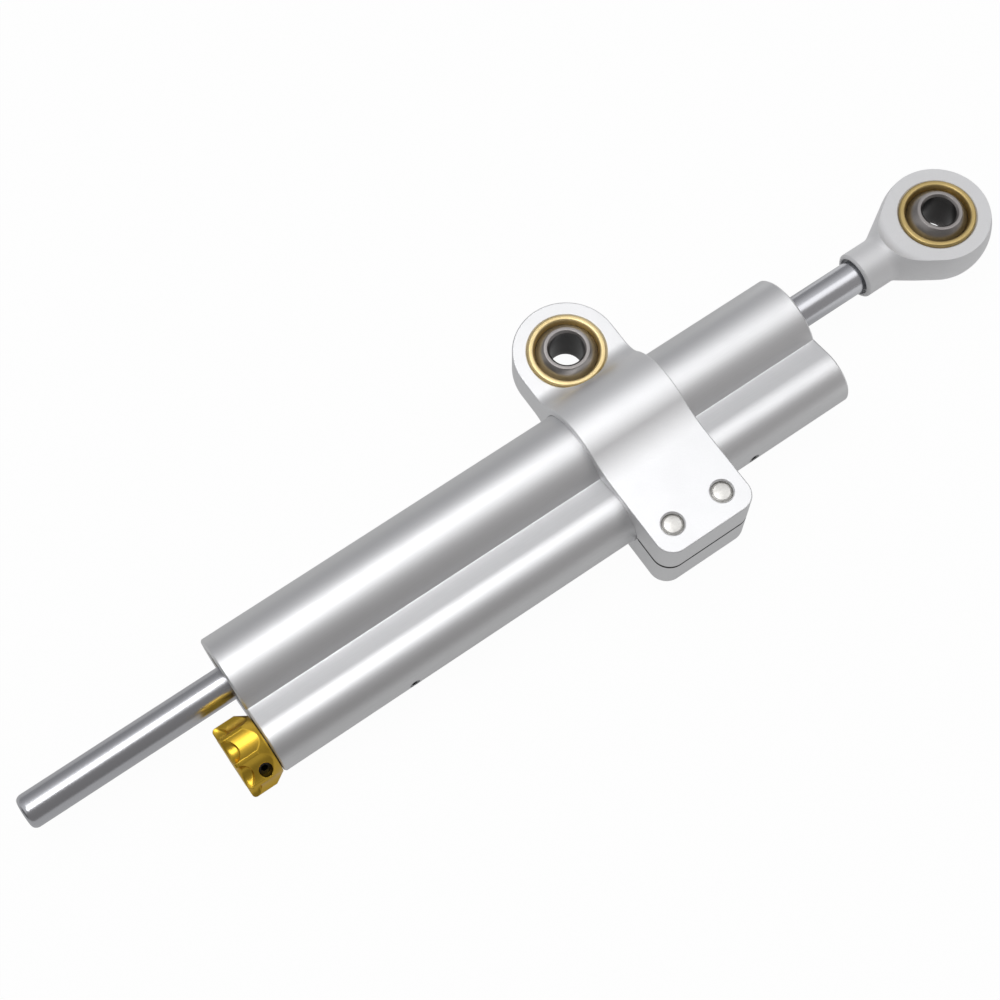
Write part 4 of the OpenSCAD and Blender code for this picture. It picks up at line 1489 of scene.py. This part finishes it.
@dataclass
class Adjuster(Assembly):
    """Gold knob on its spindle."""

    body: str = "adjuster"
    radius: float = 8.5
    length: float = 8.25
    gap: float = 0.2
    flutes: int = 8
    scoop_len: float = 2.7
    scoop_floor: float = 6.5
    flute_floor: float = 7.4
    phase: float = 65.0
    taper: float = 2.6
    rear_r: float = 7.1
    spindle_r: float = 2.53
    land: float = 3.0
    front_round: float = 0.9
    front_steps: int = 6
    lead_steps: int = 5
    scoop_round: float = 0.25
    scoop_steps: int = 7
    run_steps: int = 4
    taper_steps: int = 23
    rear_round: float = 0.3
    rear_rows: tuple[Pair, Pair] = ((0.1, 0.08), (0.0, 0.3))
    half_steps: int = 18
    crest_steps: int = 6
    bore_bevel: float = 0.2
    grub_angle: float = 143.0
    grub_r: float = 1.53
    grub_inset: float = 3.15
    grub_start: float = 0.5
    sharp_angle: float = 28

    @property
    def place(self) -> Matrix:
        """Move from the side axis at the body's end to the shared frame."""
        return Matrix.Translation(Vector((self.datum.body_start, self.datum.side_y, 0.0)) * MM)

    @property
    def flute_half(self) -> float:
        """Angle from a flute's middle to its edge, in degrees."""
        return 180 / self.flutes - self.land

    def flute(self, floor: float, turn: float) -> float:
        """Measures a flute at an angle from its middle.

        Args:
            floor: Radius to its floor.
            turn: Angle from its middle, in degrees.

        Returns:
            Radius of the surface there, or the knob's own radius on the land.
        """
        if abs(turn) >= self.flute_half:
            return self.radius
        half = math.radians(self.flute_half)
        drop = self.radius * math.cos(half) - floor
        hollow = ((self.radius * math.sin(half)) ** 2 + drop**2) / (2 * drop)
        centre = floor + hollow
        angle = math.radians(turn)
        reach = centre * math.cos(angle) - math.sqrt(hollow**2 - (centre * math.sin(angle)) ** 2)
        return min(self.radius, reach)

    def scoop_edge(self, turn: float) -> float:
        """Returns how far the round scoop reaches back at an angle from its middle."""
        across = self.flute_floor * math.sin(math.radians(min(abs(turn), self.flute_half)))
        return math.sqrt(self.scoop_len**2 - across**2)

    def turns(self) -> list[Pair]:
        """Lists the angles round the knob.

        Returns:
            Pairs of angle and angle from the nearest flute's middle, in degrees.
        """
        pitch = 360 / self.flutes
        half = self.flute_half
        steps = self.crest_steps
        inside = [half * (-1 + k / self.half_steps) for k in range(2 * self.half_steps + 1)]
        crest = [half + (pitch - 2 * half) * k / steps for k in range(1, steps)]
        angles = []
        for i in range(self.flutes):
            middle = self.phase + (i + 0.5) * pitch
            angles += [(middle + t, t) for t in inside]
            angles += [(middle + t, t if t < pitch / 2 else t - pitch) for t in crest]
        return angles

    def stations(self) -> list[tuple[float, float, float, float, float]]:
        """Lists the rings of the knob from its front to its back.

        Returns:
            Station, floor of the flutes, inset of the whole ring, radius of the lands, and the
            share by which the ring follows the round end of the scoops.
        """
        front, back = -self.gap - self.length, -self.gap
        step = front + self.scoop_len
        cone = back - self.taper
        edge, ease = self.front_round, self.scoop_round
        rows = []
        for x, drop in Bench.arc((1, 1), 1, 180, 270, self.front_steps):
            rows.append((front + edge * x, self.scoop_floor, edge * drop, self.radius, 0))
        for k in range(1, self.lead_steps + 1):
            x = front + edge + (self.scoop_len - edge - ease) * k / self.lead_steps
            rows.append((x, self.scoop_floor, 0, self.radius, k / self.lead_steps))
        for x, rise in Bench.arc((0, 1), 1, -90, 0, self.scoop_steps)[1:]:
            floor = self.scoop_floor + (self.flute_floor - self.scoop_floor) * rise
            rows.append((step - ease + ease * x, floor, 0, self.radius, 1))
        for k in range(1, self.run_steps + 1):
            x = step + (cone - step) * k / self.run_steps
            rows.append((x, self.flute_floor, 0, self.radius, 1 - k / self.run_steps))
        for k in range(1, self.taper_steps + 1):
            x = cone + (self.taper - self.rear_round) * k / self.taper_steps
            limit = self.radius + (self.rear_r - self.radius) * k / self.taper_steps
            rows.append((x, self.flute_floor, 0, limit, 0))
        for short, inset in self.rear_rows:
            rows.append((back - short, self.flute_floor, inset, self.rear_r, 0))
        return rows

    def knob(self) -> bpy.types.Object:
        """Builds the fluted knob.

        Returns:
            The knob.
        """
        front, back = -self.gap - self.length, -self.gap
        angles = self.turns()
        rings = []
        for x, floor, inset, limit, share in self.stations():
            ring = []
            for angle, turn in angles:
                reach = min(limit, self.flute(floor, turn)) - inset
                t = math.radians(angle)
                place = x + share * (self.scoop_edge(turn) - self.scoop_len)
                ring.append((place, reach * math.cos(t), reach * math.sin(t)))
            rings.append(ring)
        piece = Bench.lofted("knob_body", rings, self.place)
        bore = [
            (0, front - CUT), (self.spindle_r + self.bore_bevel + CUT, front - CUT),
            (self.spindle_r, front + self.bore_bevel), (self.spindle_r, back + CUT),
            (0, back + CUT),
        ]
        Bench.cut(piece, Bench.turned("bore_cutter", bore, self.place, sides=96))
        top = self.radius + CUT
        grub = [(0, self.grub_start), (self.grub_r, self.grub_start), (self.grub_r, top), (0, top)]
        turn = Matrix.Rotation(math.radians(self.grub_angle), 4, "X")
        move = self.place @ turn @ Matrix.Translation(((back - self.grub_inset) * MM, 0, 0))
        Bench.cut(piece, Bench.turned("grub_cutter", grub, move, Axis.ACROSS, 64))
        return self.fit(piece, "adjuster_knob", "gold_anodised", angle=self.sharp_angle)

    def build(self) -> list[bpy.types.Object]:
        """Builds the pieces."""
        return [self.knob()] + self.keep(
            {
                "knob_grub_screw": "black_steel",
                "adjuster_spindle": "stainless",
                "metering_needle": "stainless",
            }
        )


@dataclass(frozen=True)
class Lamp:
    """Soft lamp."""

    name: str
    spot: Spot
    size: Pair
    level: float
    colour: Colour = WHITE

    def place(self) -> None:
        """Hangs the lamp so that it faces the object."""
        data = bpy.data.lights.new(self.name, "AREA")
        data.shape = "RECTANGLE"
        data.size, data.size_y = self.size
        data.energy = self.level * math.pi * self.size[0] * self.size[1]
        data.color = self.colour
        lamp = bpy.data.objects.new(self.name, data)
        lamp.location = self.spot
        lamp.rotation_mode = "QUATERNION"
        lamp.rotation_quaternion = (-Vector(self.spot)).to_track_quat("-Z", "Y")
        bpy.context.scene.collection.objects.link(lamp)


@dataclass
class Studio:
    """Floor, lamps, surroundings and camera."""

    datum: Datum
    camera_spot: Spot = (-0.11713, -0.14641, 0.39315)
    camera_aim: Spot = (-0.03203, -0.01970, 0.0)
    camera_roll: float = -0.879
    lens: float = 68.37
    sensor: float = 36.0
    clip: float = 0.01
    floor_half: float = 1500.0
    floor_drop: float = 0.02
    paper: Colour = (0.8, 0.8, 0.8)
    floor_left: Colour = (0.5, 0.5, 0.5)
    floor_right: Colour = (0.85, 0.85, 0.85)
    floor_change: Pair = (60.0, 85.0)
    camera_glow: float = 0.97
    glossy_glow: float = 0.85
    room_near: Colour = (0.66, 0.66, 0.67)
    room_far: Colour = (0.31, 0.31, 0.32)
    room_left: Colour = (0.235, 0.23, 0.23)
    room_right: Colour = (0.42, 0.41, 0.41)
    room_ends: Colour = (0.09, 0.09, 0.09)
    haze_change: Pair = (0.35, 0.98)
    gloom_change: Pair = (0.1, 0.5)
    horizon: Pair = (-0.35, -0.05)
    ends_change: Pair = (0.66, 0.88)

    def shoot(self) -> None:
        """Sets the camera as in the photograph."""
        data = bpy.data.cameras.new("camera")
        data.lens = self.lens
        data.sensor_width = self.sensor
        data.clip_start = self.clip
        camera = bpy.data.objects.new("camera", data)
        spot = Vector(self.camera_spot)
        camera.location = spot
        camera.rotation_mode = "QUATERNION"
        aim = (Vector(self.camera_aim) - spot).to_track_quat("-Z", "Y")
        camera.rotation_quaternion = aim @ Quaternion((0, 0, 1), math.radians(self.camera_roll))
        bpy.context.scene.collection.objects.link(camera)
        bpy.context.scene.camera = camera

    def floor(self) -> bpy.types.Object:
        """Lays the pale floor.

        Returns:
            The floor.
        """
        half = self.floor_half
        z = self.datum.low_z - self.floor_drop
        mesh = bpy.data.meshes.new("floor")
        corners = [(-half, -half, z), (half, -half, z), (half, half, z), (-half, half, z)]
        mesh.from_pydata([tuple(c * MM for c in p) for p in corners], [], [(0, 1, 2, 3)])
        made = bpy.data.objects.new("floor", mesh)
        bpy.context.scene.collection.objects.link(made)
        material, paint = Paint.material("floor_paper")
        camera, glossy = paint.ray("Camera", "Glossy")
        paper = paint.node("ShaderNodeBsdfDiffuse", None, {"Color": self.paper})
        side = paint.part(paint.place(), 0)
        mirrored = paint.blend(side.ramp(*self.floor_change), self.floor_left, self.floor_right)
        seen = paint.blend(camera, mirrored, WHITE)
        glow = paint.node("ShaderNodeEmission", None, {"Color": seen, "Strength": 1.0})
        share = camera * self.camera_glow + glossy * self.glossy_glow
        shader = paint.node("ShaderNodeMixShader", None, {0: share, 1: paper, 2: glow})
        paint.show(shader)
        mesh.materials.append(material)
        made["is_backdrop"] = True
        return made

    def surroundings(self) -> None:
        """Lights the world: pale for the camera, a soft room for the metal."""
        world = bpy.data.worlds.new("room")
        bpy.context.scene.world = world
        world.use_nodes = True
        paint = Paint(world.node_tree)
        (camera,) = paint.ray("Camera")
        way = paint.node("ShaderNodeTexCoord", output="Generated")
        along, across = paint.part(way, 0), paint.part(way, 1)
        haze = paint.blend(across.ramp(*self.haze_change), self.room_near, self.room_far)
        gloom = paint.blend(along.ramp(*self.gloom_change), self.room_left, self.room_right)
        room = paint.blend(across.ramp(*self.horizon), gloom, haze)
        room = paint.blend((along * along).ramp(*self.ends_change), room, self.room_ends)
        seen = paint.blend(camera, room, WHITE)
        glow = paint.node("ShaderNodeBackground", None, {"Color": seen, "Strength": 1.0})
        paint.show(glow, "World")

    def build(self) -> None:
        """Sets up the studio."""
        self.shoot()
        self.floor()
        self.surroundings()
        Lamp("key_box", spot=(-0.14, 0.115, 0.86), size=(0.72, 0.22), level=4.4).place()
        Lamp("side_box", spot=(0.50, -0.08, 0.80), size=(0.56, 0.62), level=0.95).place()
        bpy.context.scene.view_settings.view_transform = "Standard"


def main() -> None:
    """Builds the damper and its studio, and reports each piece."""
    logging.basicConfig(level=logging.INFO, format="%(message)s")
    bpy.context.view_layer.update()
    datum = Datum.read()
    slots = Slots(datum)
    assemblies = (
        Cylinder(datum, slots),
        Clamp(datum, slots),
        Rod(datum, slots),
        RodEye(datum, slots),
        Adjuster(datum, slots),
    )
    for assembly in assemblies:
        for piece in assembly.build():
            LOG.info("%s: %d faces", piece.name, len(piece.data.polygons))
    Studio(datum).build()
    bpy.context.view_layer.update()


if __name__ == "__main__":
    main()
